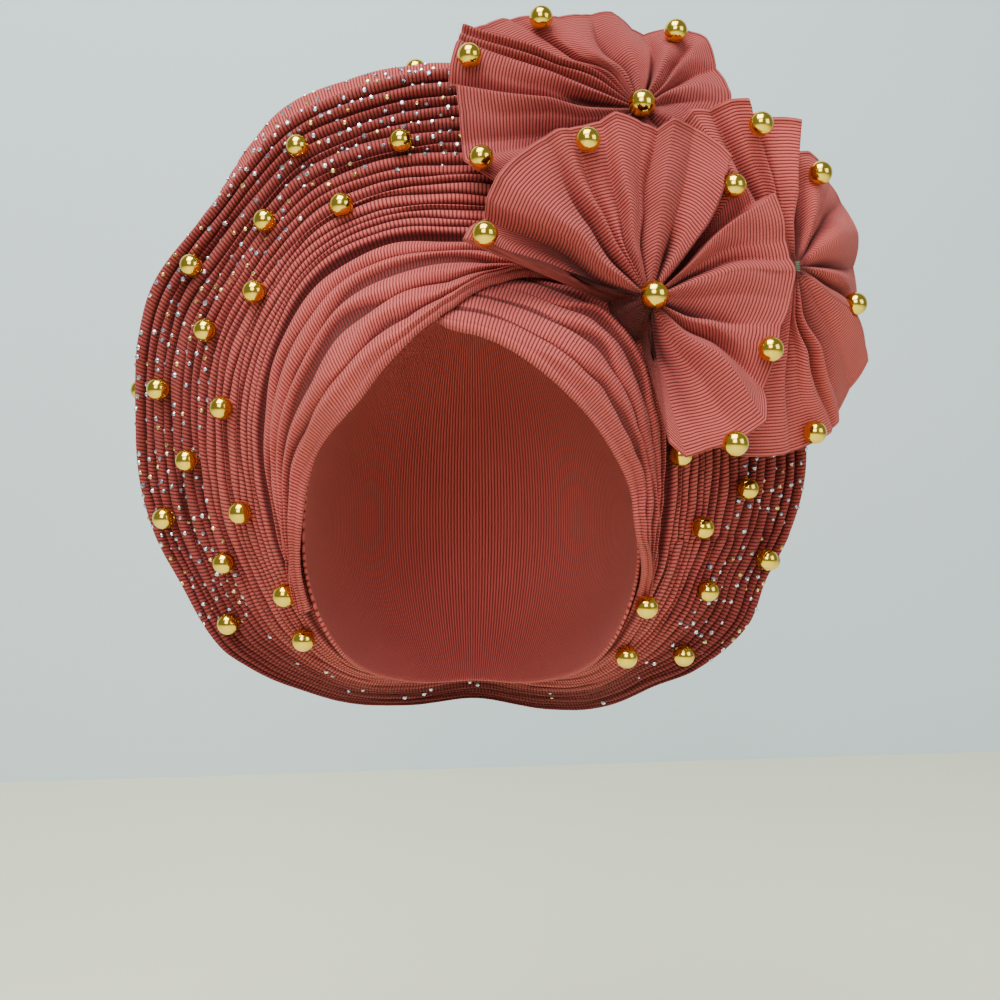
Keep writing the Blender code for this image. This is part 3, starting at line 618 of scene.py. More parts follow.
# relative width, height, share of the pleat that lies open beside it
pleatTable = [
    (0.62, 0.55, 0.03), (0.60, 0.55, 0.03), (0.64, 0.58, 0.03), (0.62, 0.60, 0.04),
    (0.70, 0.65, 0.04), (0.72, 0.72, 0.07), (0.84, 0.85, 0.15), (0.80, 0.85, 0.10),
    (0.98, 0.95, 0.10), (0.86, 0.90, 0.15), (1.02, 0.95, 0.09), (0.88, 0.90, 0.13),
    (1.05, 0.97, 0.10), (0.98, 1.00, 0.20), (0.92, 0.95, 0.07), (1.15, 1.05, 0.03),
]


def pleatGrid():
    # The smooth sheet under the pleats, and what each of its points will need
    columns = fan["columns"]
    bearing = np.linspace(0, 360, columns, endpoint=False)[:, None]
    widths = np.array([row[0] for row in pleatTable])
    edges = np.concatenate(([0], np.cumsum(widths / widths.sum())))
    places, shares, gaps, heights = [], [], [], []
    for number, (width, height, gap) in enumerate(pleatTable):
        for step in fan["steps"]:
            places.append(number + step)
            shares.append(edges[number] + (edges[number + 1] - edges[number]) * step)
            gaps.append(gap)
            heights.append(height)
    places.append(len(pleatTable))
    shares.append(1.0)
    gaps.append(gaps[-1])
    heights.append(heights[-1])
    places, shares = np.array(places), np.array(shares)
    gaps, heights = np.array(gaps), np.array(heights)
    number = np.minimum(np.floor(places + 1e-9), len(pleatTable) - 1)
    edgeWander = 0.013 * ripple(5, bearing / 11, np.round(places)[None, :] * 1.9)
    inside = np.clip(np.minimum(places, len(pleatTable) - places), 0, 1)[None, :]
    share = shares[None, :] + edgeWander * inside
    return bearing, places, share, gaps, heights, number


def makeFanBase():
    bearing, places, share, gaps, heights, number = pleatGrid()
    reach, depth, out, forward = fanBase(bearing, share)
    front = ringPoint(bearing, reach, depth)
    rise = ringPoint(bearing, reach + out, depth + forward) - front
    seatDepth = collarAt(bearing)[1]
    flange = ringPoint(bearing, headReach(bearing, seat, seatDepth), seatDepth)
    backShares = np.array([[1.0, 0.86, 0.65, 0.45, 0.3, 0.15, 0.06]])
    reach, depth, out, forward = fanBase(bearing, backShares)
    back = ringPoint(bearing, reach - out * fanWall, depth - forward * fanWall)
    last = seatDepth + fanWall * 1.5
    closing = ringPoint(bearing, headReach(bearing, seat, last), last)
    points = np.concatenate((flange, front, back, closing), axis=1)
    columns, rows = points.shape[:2]
    frontRows = slice(1, 1 + front.shape[1])

    def spread(values, other=0.0):
        whole = np.full((columns, rows), float(other))
        whole[:, frontRows] = values
        return whole

    rises = np.zeros((columns, rows, 3))
    rises[:, frontRows] = rise
    width = smooth(rimTable, 1, bearing)
    taper = np.minimum(1.0, width / fan["narrowest"])
    gapWander = 1 + 0.9 * ripple(21, bearing / 20, number[None, :] * 2.3)
    extra = {
        "rise": rises,
        "pleatPlace": spread(np.broadcast_to(places, (columns, len(places)))),
        "pleatRise": spread(heights[None, :] * taper * fan["pleatHeight"]),
        "gapShare": spread(np.clip(gaps[None, :] * gapWander, 0.0, 0.24)),
        "stoneRoom": spread(stoneRoom(bearing, share)),
        # Painted shade that grows towards the rim and on the lower side of the fan
        "dusk": spread(fan["dusk"] * np.clip((share - 0.2) / 0.35, 0, 1)
                       * (1 + fan["lowDusk"] * np.clip(-np.sin(np.radians(bearing)), 0, 1))),
    }
    # Cords are counted along each pleat, so they break at every valley
    closed = np.concatenate((front, front[:1]), axis=0)
    run = lengthAlong(closed, axis=0)
    count = len(fan["steps"])
    middles = [number * count + count // 2 for number in range(len(pleatTable))]
    strips = np.arange(rows)
    owner = np.clip((strips - 1) // count, 0, len(pleatTable) - 1)
    along = run[:, [middles[place] for place in owner]] + owner[None, :] * 0.00053
    around = np.concatenate((points, points[:1]), axis=0)
    around = np.concatenate((around, around[:, :1]), axis=1)
    across = lengthAlong(around, axis=1)
    lowRow = np.stack((along, across[:, :-1]), axis=-1)
    highRow = np.stack((along, across[:, 1:]), axis=-1)
    cords = np.stack((lowRow, highRow), axis=2) / (clothLook["pitch"] * fan["coarser"])
    # Whole cords all round, so that the last column meets the first
    turns = np.round(cords[-1, :, 0, 0] - cords[0, :, 0, 0])
    stretch = turns / (cords[-1, :, 0, 0] - cords[0, :, 0, 0])
    cords[..., 0] = cords[:1, :, :, 0] + (cords[..., 0] - cords[:1, :, :, 0]) * stretch[None, :, None]
    piece = clothMesh("fanCloth", points, cords, 0.0, closedColumns=True, closedRows=True, extra=extra)
    return piece


stones = {
    "radius": 0.00112, "spacing": 0.0040, "perSquareMetre": 115000.0, "goldShare": 0.2,
    "ballRoom": 0.0066, "seed": 7,
}


def stoneRoom(bearing, share):
    # Where the small stones lie: the outer part of the fan, less dense towards the bands
    share = np.broadcast_to(share, np.broadcast_shapes(bearing.shape, share.shape))
    inner = 0.36 + 0.12 * ripple(31, bearing / 18, bearing / 7)
    room = np.clip((share - inner) / 0.12, 0, 1)
    low = np.clip((bearing - 195) / 12, 0, 1) * np.clip((335 - bearing) / 12, 0, 1)
    return room * np.clip(1 - low * 0.85, 0, 1)


def openTree(name, inputs):
    # A geometry tree with named inputs, and wires for its start and for each input
    tree = bpy.data.node_groups.new(name, "GeometryNodeTree")
    tree.interface.new_socket("Geometry", in_out="INPUT", socket_type="NodeSocketGeometry")
    for label, kind in inputs:
        tree.interface.new_socket(label, in_out="INPUT", socket_type="NodeSocket" + kind)
    tree.interface.new_socket("Geometry", in_out="OUTPUT", socket_type="NodeSocketGeometry")
    entry = Wire(tree).add("NodeGroupInput")
    return tree, entry


def closeTree(tree, geometry, entry):
    whole = geometry.add("GeometryNodeRealizeInstances", sockets={0: geometry})
    done = whole.add("GeometryNodeSetMaterial", sockets={"Geometry": whole, "Material": entry.of("Finish")})
    tree.links.new(done.socket, tree.nodes.new("NodeGroupOutput").inputs["Geometry"])
    return tree


def runTree(piece, tree, values, name):
    # Sets the inputs by identifier, and gives the result as a plain mesh in a new object
    modifier = piece.modifiers.new(tree.name, "NODES")
    modifier.node_group = tree
    for item in tree.interface.items_tree:
        if item.item_type == "SOCKET" and item.in_out == "INPUT" and item.name in values:
            modifier[item.identifier] = values[item.name]
    seen = piece.evaluated_get(bpy.context.evaluated_depsgraph_get())
    mesh = bpy.data.meshes.new_from_object(seen, preserve_all_data_layers=True,
                                           depsgraph=bpy.context.evaluated_depsgraph_get())
    mesh.name = name
    piece.modifiers.remove(modifier)
    made = bpy.data.objects.new(name, mesh)
    bpy.context.scene.collection.objects.link(made)
    return made


def pleatTree():
    # Raises rounded pleats from the smooth sheet and paints shade into their valleys
    tree, entry = openTree("pleats", [("Unevenness", "Float"), ("Seed", "Float"), ("Finish", "Material")])

    def held(name, kind="FLOAT"):
        return entry.add("GeometryNodeInputNamedAttribute", {"data_type": kind}, {"Name": name})

    place, gap, tall = held("pleatPlace"), held("gapShare"), held("pleatRise")
    where = entry.add("GeometryNodeInputPosition")
    number = place.math("FLOOR")
    offset = entry.add("ShaderNodeCombineXYZ", sockets={0: number * 0.37, 1: number * 0.11, 2: entry.of("Seed")})
    uneven = entry.add("ShaderNodeTexNoise", sockets={
        "Vector": where.vector("ADD", offset), "Scale": 32.0, "Detail": 2.0,
    })
    within = place.math("FRACT")
    open_ = gap * (0.4 + uneven * 1.2)
    inside = ((within - open_) / (1 - open_ * 2)).clamped()
    away = inside * 2 - 1
    arch = (1 - away * away).math("MAXIMUM", 0.0) ** 0.52
    lift = tall * arch * (1 + (uneven - 0.5) * 2.0 * entry.of("Unevenness"))
    moved = held("rise", "FLOAT_VECTOR").vector("SCALE", lift)
    pleated = entry.add("GeometryNodeSetPosition", sockets={
        "Geometry": entry.of("Geometry"), "Offset": moved,
    })
    # Painted shade in the valleys between pleats
    valley = ((1.30 - arch * 1.18).clamped()) * (tall * 900.0).clamped()
    # The last pleat turns over the rim in full light and keeps no painted valley shade
    valley = valley * ((len(pleatTable) - place) * 1.7).clamped()
    valley = valley.math("MAXIMUM", held("dusk"))
    marked = pleated.add("GeometryNodeStoreNamedAttribute", {"data_type": "FLOAT", "domain": "POINT"}, {
        "Geometry": pleated, "Name": "hollow", "Value": valley,
    })
    topped = marked.add("GeometryNodeStoreNamedAttribute", {"data_type": "FLOAT", "domain": "POINT"}, {
        "Geometry": marked, "Name": "stoneRoom", "Value": held("stoneRoom") * ((arch - 0.55) * 4.0).clamped(),
    })
    return closeTree(tree, topped, entry)


def makeFan():
    base = makeFanBase()
    values = {"Unevenness": fan["unevenness"], "Seed": float(fan["seed"]), "Finish": cordedCloth}
    piece = runTree(base, pleatTree(), values, "fanCloth")
    bpy.data.objects.remove(base)
    piece.name = piece.data.name = "fanCloth"
    turnOutwards(piece)
    settle(piece, "corded_cloth", "fan")
    return piece


# The plain cloth behind the fan

back = {"columns": 360, "rows": 56, "tucks": 46, "tuckDepth": 0.0011}


def makeBack():
    columns = back["columns"]
    bearing = np.linspace(0, 360, columns, endpoint=False)
    reach, depth, out, forward = fanBase(bearing, 1.0)
    start = depth + fanWall + clearance * 2
    roll = np.maximum(0.0, smooth(rimTable, 3, bearing)) * rollBack
    endDepth = smooth(capTable, 2, bearing) * head["halfDepth"]
    end = headReach(bearing, seat, endDepth)
    run, drop = endDepth - start, reach - end
    corners = np.stack([
        np.stack((reach - backWall / 2, start), axis=-1),
        np.stack((reach + roll, start + backWall + roll), axis=-1),
        np.stack((end + drop * 0.84, start + backWall + roll + run * 0.12), axis=-1),
        np.stack((end + drop * 0.50, endDepth - run * 0.46), axis=-1),
        np.stack((end + drop * 0.20, endDepth - run * 0.14), axis=-1),
        np.stack((end, endDepth), axis=-1),
    ], axis=1)
    outer = throughCorners(corners, back["rows"])
    way = np.gradient(outer, axis=1)
    way /= np.linalg.norm(way, axis=-1, keepdims=True)
    normal = np.stack((way[..., 1], -way[..., 0]), axis=-1)
    share = np.linspace(0, 1, back["rows"])[None, :]
    turn = np.radians(bearing)[:, None]
    wave = turn * back["tucks"] + 2.4 * ripple(41, turn * 3) + 0.8 * share
    deeper = back["tuckDepth"] * np.clip((share - 0.12) / 0.4, 0, 1) * np.clip((1 - share) / 0.1, 0, 1)
    gather = np.abs(np.sin(wave / 2)) ** 0.7
    sag = 0.0009 * ripple(43, turn * 4, share * 5) * np.clip(share * 6, 0, 1) * np.clip((1 - share) * 6, 0, 1)
    outer = outer + normal * (deeper * (gather - 0.9) * 2 + sag)[..., None]
    inner = outer - normal * backWall
    inner[:, 0] = np.stack((reach - backWall * 1.7, start), axis=-1)
    profile = np.concatenate((outer, inner[:, ::-1]), axis=1)
    points = ringPoint(bearing[:, None], profile[..., 0], profile[..., 1])
    rows = points.shape[1]
    hollow = np.zeros((columns, rows))
    # Painted shade in the valleys of the gathers
    hollow[:, :back["rows"]] = (1 - gather) * np.clip((share - 0.2) / 0.4, 0, 1) * 0.7
    stoneSpace = np.zeros((columns, rows))
    rolled = np.clip(roll / rollBack * 1.4, 0, 1)[:, None]
    stoneSpace[:, :back["rows"]] = rolled * np.clip((0.19 - share) / 0.03, 0, 1) * (share > 0.02)
    around = np.concatenate((points, points[:1]), axis=0)
    around = np.concatenate((around, around[:, :1]), axis=1)
    length = lengthAlong(around[:, :], axis=0)[:, [6]]
    turns = round(float(length[-1, 0]) / clothLook["pitch"])
    along = np.broadcast_to(length / length[-1] * turns * clothLook["pitch"], around.shape[:2])
    across = lengthAlong(around, axis=1)
    piece = clothMesh("backCloth", points, cordsFrom(along, across), hollow, closedColumns=True,
                      closedRows=True, extra={"stoneRoom": stoneSpace})
    settle(piece, "corded_cloth", "fan_back")
    return piece


def throughCorners(corners, count):
    # A rounded line through the corners of each column, evenly spaced
    places = np.arange(corners.shape[1])
    fine = np.linspace(0, len(places) - 1, 160)
    index = np.clip(np.floor(fine).astype(int), 0, len(places) - 2)
    share = (fine - index)[None, :, None]
    padded = np.concatenate((
        2 * corners[:, :1] - corners[:, 1:2], corners, 2 * corners[:, -1:] - corners[:, -2:-1],
    ), axis=1)
    p0, p1, p2, p3 = (padded[:, index + step] for step in range(4))
    line = 0.5 * (
        2 * p1 + (p2 - p0) * share + (2 * p0 - 5 * p1 + 4 * p2 - p3) * share ** 2
        + (3 * p1 - p0 - 3 * p2 + p3) * share ** 3
    )
    length = lengthAlong(line, axis=1)
    wanted = np.linspace(0, 1, count) ** 1.15
    out = np.empty((len(line), count, 2))
    for column in range(len(line)):
        at = wanted * length[column, -1]
        for axis in range(2):
            out[column, :, axis] = np.interp(at, length[column], line[column, :, axis])
    return out


# The rosettes

rosette = {
    "wall": 0.0014, "foldHeight": 0.0058, "stemRadius": 0.008, "stemTaper": 0.8, "hem": 0.0021,
    "hemHeight": 0.00035, "rows": 84, "finest": 1.3, "ballSink": 0.0003, "ballReach": 0.010,
    # dusk: painted shade over each whole rosette
    "dusk": {"rosette_top": 0.40, "rosette_side": 0.0, "rosette_front": 0.30},
}
# One row for each fold line, from the lower right round against the clock: direction at the
# edge, half way in and near the middle; reach and forward lean at the edge as shares of the
# radius; height of the line at the edge, half way and near the middle, -1 deep to 1 high
frontFolds = [
    (273, 274, 268, 0.74, 0.06, -0.2, -0.6, -1.1), (278, 277, 271, 0.825, 0.06, 0.0, -0.4, -1.1),
    (285, 284, 277, 0.815, 0.08, -0.4, -0.6, -1.2), (297, 298, 290, 0.83, 0.10, 0.0, -0.2, -0.2),
    (307.5, 313, 304, 0.83, 0.13, 0.9, 1.1, 1.0), (319, 325, 317, 0.725, 0.06, -0.1, -0.5, -0.6),
    (334, 333, 325, 0.675, 0.07, 0.2, 0.6, 0.7), (346, 342, 337, 0.665, 0.10, 0.0, -0.6, -1.2),
    (359, 2, 1, 0.72, 0.08, 0.2, 0.2, -0.1), (10, 17, 18, 0.765, 0.07, 0.6, 0.9, 1.0),
    (15.5, 26, 29, 0.77, 0.08, -0.2, -0.7, -1.2), (23, 33, 34, 0.785, 0.07, 0.0, 0.0, 0.0),
    (39, 42.5, 39, 0.86, 0.06, 0.7, 1.0, 0.9), (41.5, 44, 41, 0.80, -0.01, -0.5, -0.8, -1.1),
    (51, 47.5, 44, 0.83, 0.01, -0.2, -0.7, -1.2), (57, 49, 47, 0.79, 0.01, -0.4, -0.7, -1.0),
    (58.6, 51, 50, 0.85, 0.08, 0.5, 0.9, 0.5), (64, 60, 58, 0.89, 0.07, 0.4, 0.8, 0.9),
    (73, 70, 66, 0.93, 0.06, 0.2, -0.1, -1.3), (81, 83, 84, 0.92, 0.09, 0.7, 1.0, 1.0),
    (84.5, 89.5, 97, 0.895, 0.04, -0.5, -0.6, -0.9), (90, 94, 103, 0.91, 0.04, 0.0, 0.1, 0.5),
    (99.5, 102.5, 109, 0.955, 0.06, 0.6, 0.8, 0.9), (104, 107, 114, 0.935, 0.04, 0.0, -0.4, -0.8),
    (110, 112, 119, 0.935, 0.04, 0.1, 0.1, 0.4), (114, 117, 121.5, 0.95, 0.03, -0.1, -0.5, -0.8),
    (118, 121.5, 125, 0.965, 0.04, 0.3, 0.7, 0.9), (122.5, 127, 133, 0.965, 0.05, -0.2, -0.9, -1.4),
    (130, 133.5, 141, 0.965, 0.07, 0.2, 0.2, 0.2), (144, 143, 150, 0.97, 0.10, 0.6, 1.2, 1.1),
    (151.5, 148, 155, 0.955, 0.08, 0.3, 0.6, 0.4), (155, 150, 159, 0.92, 0.02, -0.7, -1.2, -1.2),
    (160, 154.5, 163, 0.975, 0.02, -0.4, -0.9, -0.9), (165.5, 161, 168, 0.995, 0.05, -0.1, -0.6, -0.7),
]
topFolds = [
    (7, 10, 15, 0.48, 0.00, 0.0, 0.0, -0.4), (18, 24, 29, 0.50, -0.05, 0.3, 0.5, 0.7),
    (35, 39, 40, 0.53, -0.09, -0.4, -0.6, -0.5), (51, 50, 45, 0.625, -0.15, 0.7, 0.6, 0.3),
    (59, 54, 50, 0.65, -0.19, 0.0, -0.3, -0.3), (71.5, 65, 63, 0.605, -0.20, 0.4, 0.8, 0.9),
    (82.5, 73, 70, 0.57, -0.21, -0.2, -0.6, -1.4), (89, 79, 77, 0.59, -0.21, 0.0, 0.8, 0.9),
    (98, 95, 89, 0.70, -0.23, 0.3, 0.5, 0.4), (107, 114, 104, 0.71, -0.21, -0.3, -1.1, -1.1),
    (112, 120, 110, 0.70, -0.18, 0.0, 0.6, 0.9), (123, 126, 115, 0.725, -0.16, 0.5, 0.9, 0.5),
    (132.5, 133, 119, 0.80, -0.13, 0.4, 0.5, 0.1), (139, 137.5, 123, 0.87, -0.10, -0.3, -1.1, -0.9),
    (142, 140, 127, 0.895, -0.08, 0.2, 0.1, 0.4), (148.5, 145.5, 131, 0.93, -0.05, 0.4, 0.1, -0.5),
    (151.5, 147, 134, 0.97, -0.03, 0.2, -0.8, -0.8), (153.4, 149, 138, 1.015, -0.01, 0.8, 0.9, 0.8),
    (155, 151, 141, 1.01, -0.02, 0.3, -0.6, -0.7), (156.3, 153, 146, 1.008, -0.01, 0.5, 0.6, 0.7),
    (157.8, 156, 152, 1.005, -0.01, 0.2, -0.5, -0.8), (159.5, 160, 161, 1.005, 0.00, 0.5, 0.9, 0.7),
    (167, 168, 168, 1.00, 0.01, 0.2, 0.2, -1.6), (172.5, 174.5, 175, 0.99, 0.01, -0.5, -1.0, -1.2),
    (175.5, 178.5, 186, 0.945, 0.05, 0.9, 1.1, 0.8), (184, 185, 193, 0.93, 0.04, 0.5, 0.3, 0.1),
    (193, 194, 199, 0.94, 0.02, -0.3, -0.7, -0.8), (199, 199.5, 204, 0.96, 0.03, -0.1, -0.7, -0.8),
    (204, 204, 209, 0.94, 0.05, 0.5, 0.0, 0.0), (210, 210, 213, 0.86, 0.04, 0.2, 0.5, 0.5),
    (226, 226, 226, 0.58, 0.05, -0.4, -0.5, -0.6), (246, 246, 246, 0.48, 0.04, 0.4, 0.5, 0.6),
    (268, 268, 268, 0.46, 0.05, -0.4, -0.5, -0.6), (290, 290, 290, 0.40, 0.04, 0.4, 0.5, 0.6),
    (314, 314, 314, 0.36, 0.04, -0.4, -0.5, -0.6), (340, 340, 340, 0.38, 0.01, 0.4, 0.5, 0.6),
]
sideFolds = [
    (352, 354, 353, 0.57, -0.50, 0.4, 0.8, 0.9), (8, 4, 4, 0.565, -0.50, -0.3, -0.7, -1.0),
    (25, 32, 36, 0.61, -0.47, 0.5, 0.9, 0.9), (43, 49, 53, 0.615, -0.42, -0.3, -0.8, -1.0),
    (56, 60, 62, 0.61, -0.36, 0.1, 0.2, 0.3), (67, 69.5, 68, 0.635, -0.28, 0.6, 0.9, 0.9),
    (77, 79, 77, 0.645, -0.17, 0.1, -0.3, -0.6), (86, 88, 90, 0.61, -0.09, -0.6, -1.0, -1.1),
    (88.5, 91.5, 99, 0.74, 0.00, 0.8, 0.9, 0.9), (101, 104, 107, 0.755, 0.04, 0.2, 0.2, 0.1),
    (108.6, 109, 111, 0.77, 0.05, -0.6, -0.9, -1.2), (110.8, 111, 114, 0.86, 0.10, 0.8, 0.9, 0.8),
    (115.5, 116, 117, 0.895, 0.08, 0.4, 0.3, 0.3), (122, 123, 123, 0.905, 0.07, -0.4, -0.7, -0.8),
    (128, 129, 131, 0.955, 0.09, 0.4, 0.6, 0.7), (134, 135, 136, 0.93, 0.06, -0.2, -0.4, -0.6),
    (146, 146, 146, 0.50, 0.06, 0.2, 0.4, 0.5), (166, 166, 166, 0.42, 0.02, -0.3, -0.4, -0.5),
    (188, 188, 188, 0.40, 0.02, 0.3, 0.4, 0.5), (210, 210, 210, 0.46, 0.02, -0.3, -0.4, -0.5),
    (230, 230, 230, 0.60, 0.02, 0.3, 0.4, 0.5), (244, 245, 249, 1.00, 0.00, 0.3, 0.4, 0.5),
    (252, 251, 255, 1.01, 0.02, -0.3, -0.5, -0.6), (259, 257, 259, 0.985, -0.01, 0.1, 0.2, 0.3),
    (267, 262.5, 262, 0.96, -0.05, 0.5, 0.7, 0.6), (271, 266, 263, 0.945, -0.08, -0.1, -0.4, -0.7),
    (281, 273, 265, 0.915, -0.15, 0.0, 0.0, -0.2), (289.5, 279, 267, 0.90, -0.25, 0.4, 0.9, 0.8),
    (292.3, 285, 271, 0.89, -0.29, -0.2, -0.7, -0.9), (295.5, 291, 277, 0.875, -0.32, 0.4, 0.8, 0.7),
    (299, 295, 284, 0.835, -0.36, 0.0, -0.4, -0.7), (310, 307, 304, 0.785, -0.43, 0.1, 0.0, -0.1),
    (324, 331, 325, 0.76, -0.47, 0.7, 1.0, 0.9), (336, 342, 338, 0.635, -0.50, -0.3, -0.7, -0.9),
]
# piece, node, radius, stand off the fan, folds, bearing and share on the fan, turn, tilt
rosetteTable = [
    ("topRosette", "rosette_top", 0.085, 0.026, topFolds, 68.7, 0.90, 3, 16),
    ("sideRosette", "rosette_side", 0.086, 0.033, sideFolds, 40.4, 0.94, 10, 2),
    ("frontRosette", "rosette_front", 0.082, 0.034, frontFolds, 54.5, 0.06, 12, 12),
]


def rosetteFrame(stand, bearing, share, turn, tilt):
    # Middle, and the directions to its right, upwards and towards the eye
    turn, tilt = math.radians(turn), math.radians(tilt)
    facing = np.array((math.sin(turn) * math.cos(tilt), -math.cos(turn) * math.cos(tilt), math.sin(tilt)))
    right = np.array((math.cos(turn), math.sin(turn), 0.0))
    up = -np.cross(right, facing)
    reach, depth, out, forward = fanBase(float(bearing), float(share))
    middle = ringPoint(float(bearing), float(reach), float(depth)) + np.array((0, -stand, 0))
    return middle, right, up, facing


def foldColumns(folds):
    # The columns between the fold lines: creases stay sharp and ridges come out round
    columns = []
    for place, here in enumerate(folds):
        there = folds[(place + 1) % len(folds)]
        here, there = np.array(here, float), np.array(there, float)
        here[:3] = here[0] + (here[:3] - here[0] + 180) % 360 - 180
        there[:3] = here[:3] + (there[:3] - here[:3] + 180) % 360 - 180
        widest = np.max(there[:3] - here[:3])
        if widest > 60:
            # No cloth here: the edge drops to the stem and comes back past the gap
            columns.append(tuple(here))
            for step in range(9):
                row = here + (there - here) * step / 8
                row[3], row[4], row[5:] = 0.16, -0.22, 0.4 * (-1) ** step
                columns.append(tuple(row))
            continue
        count = max(3, int(math.ceil(widest / rosette["finest"])))
        for step in range(count):
            share = step / count
            row = here + (there - here) * share
            for column in (5, 6, 7):
                low, high = here[column], there[column]
                rounded = math.sin(share * math.pi / 2) if high > low else 1 - math.cos(share * math.pi / 2)
                row[column] = low + (high - low) * rounded
            columns.append(tuple(row))
    return [np.array(values)[:, None] for values in zip(*columns)]


def threeWay(atEdge, half, near, shares):
    # A smooth run through three values, at shares 1, 0.5 and 0.2 of the way out
    outer = np.clip((shares - 0.5) / 0.5, 0, 1)
    inner = np.clip((shares - 0.2) / 0.3, 0, 1)
    outer, inner = outer * outer * (3 - 2 * outer), inner * inner * (3 - 2 * inner)
    return (near + (half - near) * inner) * (1 - outer) + atEdge * outer


def makeRosette(name, node, radius, stand, folds, bearing, share, turn, tilt):
    look = rosette
    middle, right, up, facing = rosetteFrame(stand, bearing, share, turn, tilt)
    edgeWay, halfWay, nearWay, reach, lean, edgeHigh, halfHigh, nearHigh = foldColumns(folds)
    near = look["stemRadius"] * 0.45
    seed = sum(map(ord, name))
    balls = []
    for ballName in nodes:
        if ballName.startswith("bead_rosette"):
            low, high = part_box(ballName)
            spot = np.array((low + high) / 2) - middle
            balls.append((spot @ right, spot @ up, spot @ facing, (high.z - low.z) / 2))

    def skin(shares, drop, lift=0.0):
        along = near + (reach * radius - near) * shares
        angle = np.radians(threeWay(edgeWay, halfWay, nearWay, shares))
        bend = shares ** np.where(lean < 0, 1.8, 1.2)
        high = threeWay(edgeHigh * 0.75, halfHigh, nearHigh * 0.85, shares)
        tall = look["foldHeight"] * np.clip(shares / 0.2, 0, 1) ** 0.8 * (0.55 + 0.45 * np.clip(shares / 0.5, 0, 1))
        sway = 0.0008 * ripple(seed, np.radians(edgeWay) * 6, shares * 3.5) * shares
        rise = lean * radius * bend + high * tall + sway + 0.0012 * (1 - shares) + lift
        x, y = along * np.cos(angle), along * np.sin(angle)
        for ballX, ballY, ballZ, ballRadius in balls:
            away = np.hypot(x - ballX, y - ballY)
            closest = np.unravel_index(np.argmin(away), away.shape)
            if away[closest] < 0.004 and abs(rise[closest] - ballZ) < 0.02:
                wanted = ballZ - ballRadius + look["ballSink"]
                middleHigh = np.exp(-(away / look["ballReach"]) ** 2)
                rise = rise + (wanted - rise[closest]) * middleHigh
                # No cloth stands in the ball's own place
                below = ballZ - np.sqrt(np.maximum(ballRadius ** 2 - away ** 2, 0)) + look["ballSink"]
                rise = np.where(away < ballRadius * 0.98, np.minimum(rise, below), rise)
        return middle + x[..., None] * right + y[..., None] * up + facing * (rise - drop)[..., None]

    inner = np.linspace(0.0, 1, look["rows"]) ** 0.9 * 0.955 + 0.015
    hemShare = look["hem"] / radius
    edge = np.array([1 - hemShare * 1.1, 1 - hemShare * 0.95, 1 - hemShare * 0.5, 1 - hemShare * 0.1, 1.0])
    shares = np.concatenate((inner[inner < edge[0] - 0.004], edge))[None, :]
    lift = np.where(shares > 1 - hemShare, look["hemHeight"], 0.0)
    front = skin(shares, 0.0, lift)
    rear = skin(shares[:, ::-1][:, ::3], look["wall"])
    rearShares = shares[0, ::-1][::3]
    rear = rear[:, rearShares > 0.16]
    rim = (front[:, -1:] + rear[:, :1]) / 2
    outwards = np.cos(np.radians(nearWay))[..., None] * right + np.sin(np.radians(nearWay))[..., None] * up
    rim = rim + outwards * look["wall"] * 0.25
    length = stemLength(node, middle, facing)
    stemPlaces = np.array([0.010, 0.016, 0.5 * (0.016 + length), length])
    stemPlaces = stemPlaces[stemPlaces <= length]
    stemRings = []
    for place in stemPlaces:
        taper = (1 - (1 - look["stemTaper"]) * place / length) * min(1.0, 0.35 + place / 0.03)
        flute = 1 + 0.08 * nearHigh
        stemRings.append(middle - facing * place + outwards * (look["stemRadius"] * taper * flute)[..., None])
    points = np.concatenate((front, rim, rear, *stemRings), axis=1)
    count, frontCount = points.shape[1], shares.shape[1]
    # Painted shade in the creases and towards the middle, over each whole rosette by its dusk, deep over the gap by
    # the stem, and a little on the back and stem
    level = threeWay(edgeHigh, halfHigh, nearHigh, shares)
    deep = np.clip((0.30 - level) / 1.2, 0, 1) ** 1.1 * np.clip(1.30 - 0.85 * shares, 0, 1)
    deep = np.maximum(deep, look["dusk"][node] * np.ones_like(reach))
    # Painted shade over the gap where the edge drops to the stem
    deep = np.where(reach < 0.3, 0.9, deep)
    core = np.clip(1 - shares / 0.10, 0, 1) * 0.9
    hollow = np.full((points.shape[0], count), 0.2)
    hollow[:, :frontCount] = np.maximum(deep, core)
    # Cords are counted in from the edge, along the fold lines
    run = lengthAlong(points, axis=1)
    run = run - run[:, frontCount - 1:frontCount]
    run = np.vstack((run, run[:1]))
    around = np.concatenate((np.radians(nearWay), np.radians(nearWay[:1]) + 2 * np.pi), axis=0)
    piece = clothMesh(name, points, cordsFrom(run, np.broadcast_to(around * radius * 0.6, run.shape)),
                      hollow, closedColumns=True, poles=True)
    settle(piece, "corded_cloth", node)
    return piece


def stemLength(node, middle, facing):
    # As far back as the solid's own stem
    points = np.array([vertex.co for vertex in nodes[node].data.vertices]) - middle
    back = -points @ facing
    off = np.linalg.norm(points + back[:, None] * facing, axis=1)
    return float(back[off < 0.0085].max())


# Balls

ball = {"segments": 32, "rings": 16}


def ballTree():
    # A sphere of its own size at every point
    tree, entry = openTree("balls", [("Segments", "Int"), ("Rings", "Int"), ("Finish", "Material")])
    sphere = entry.add("GeometryNodeMeshUVSphere", sockets={
        "Segments": entry.of("Segments"), "Rings": entry.of("Rings"), "Radius": 1.0,
    })
    size = entry.add("GeometryNodeInputNamedAttribute", {"data_type": "FLOAT"}, {"Name": "ballSize"})
    points = entry.add("GeometryNodeMeshToPoints", sockets={"Mesh": entry.of("Geometry")})
    placed = points.add("GeometryNodeInstanceOnPoints", sockets={
        "Points": points, "Instance": sphere, "Scale": size,
    })
    return closeTree(tree, placed, entry)


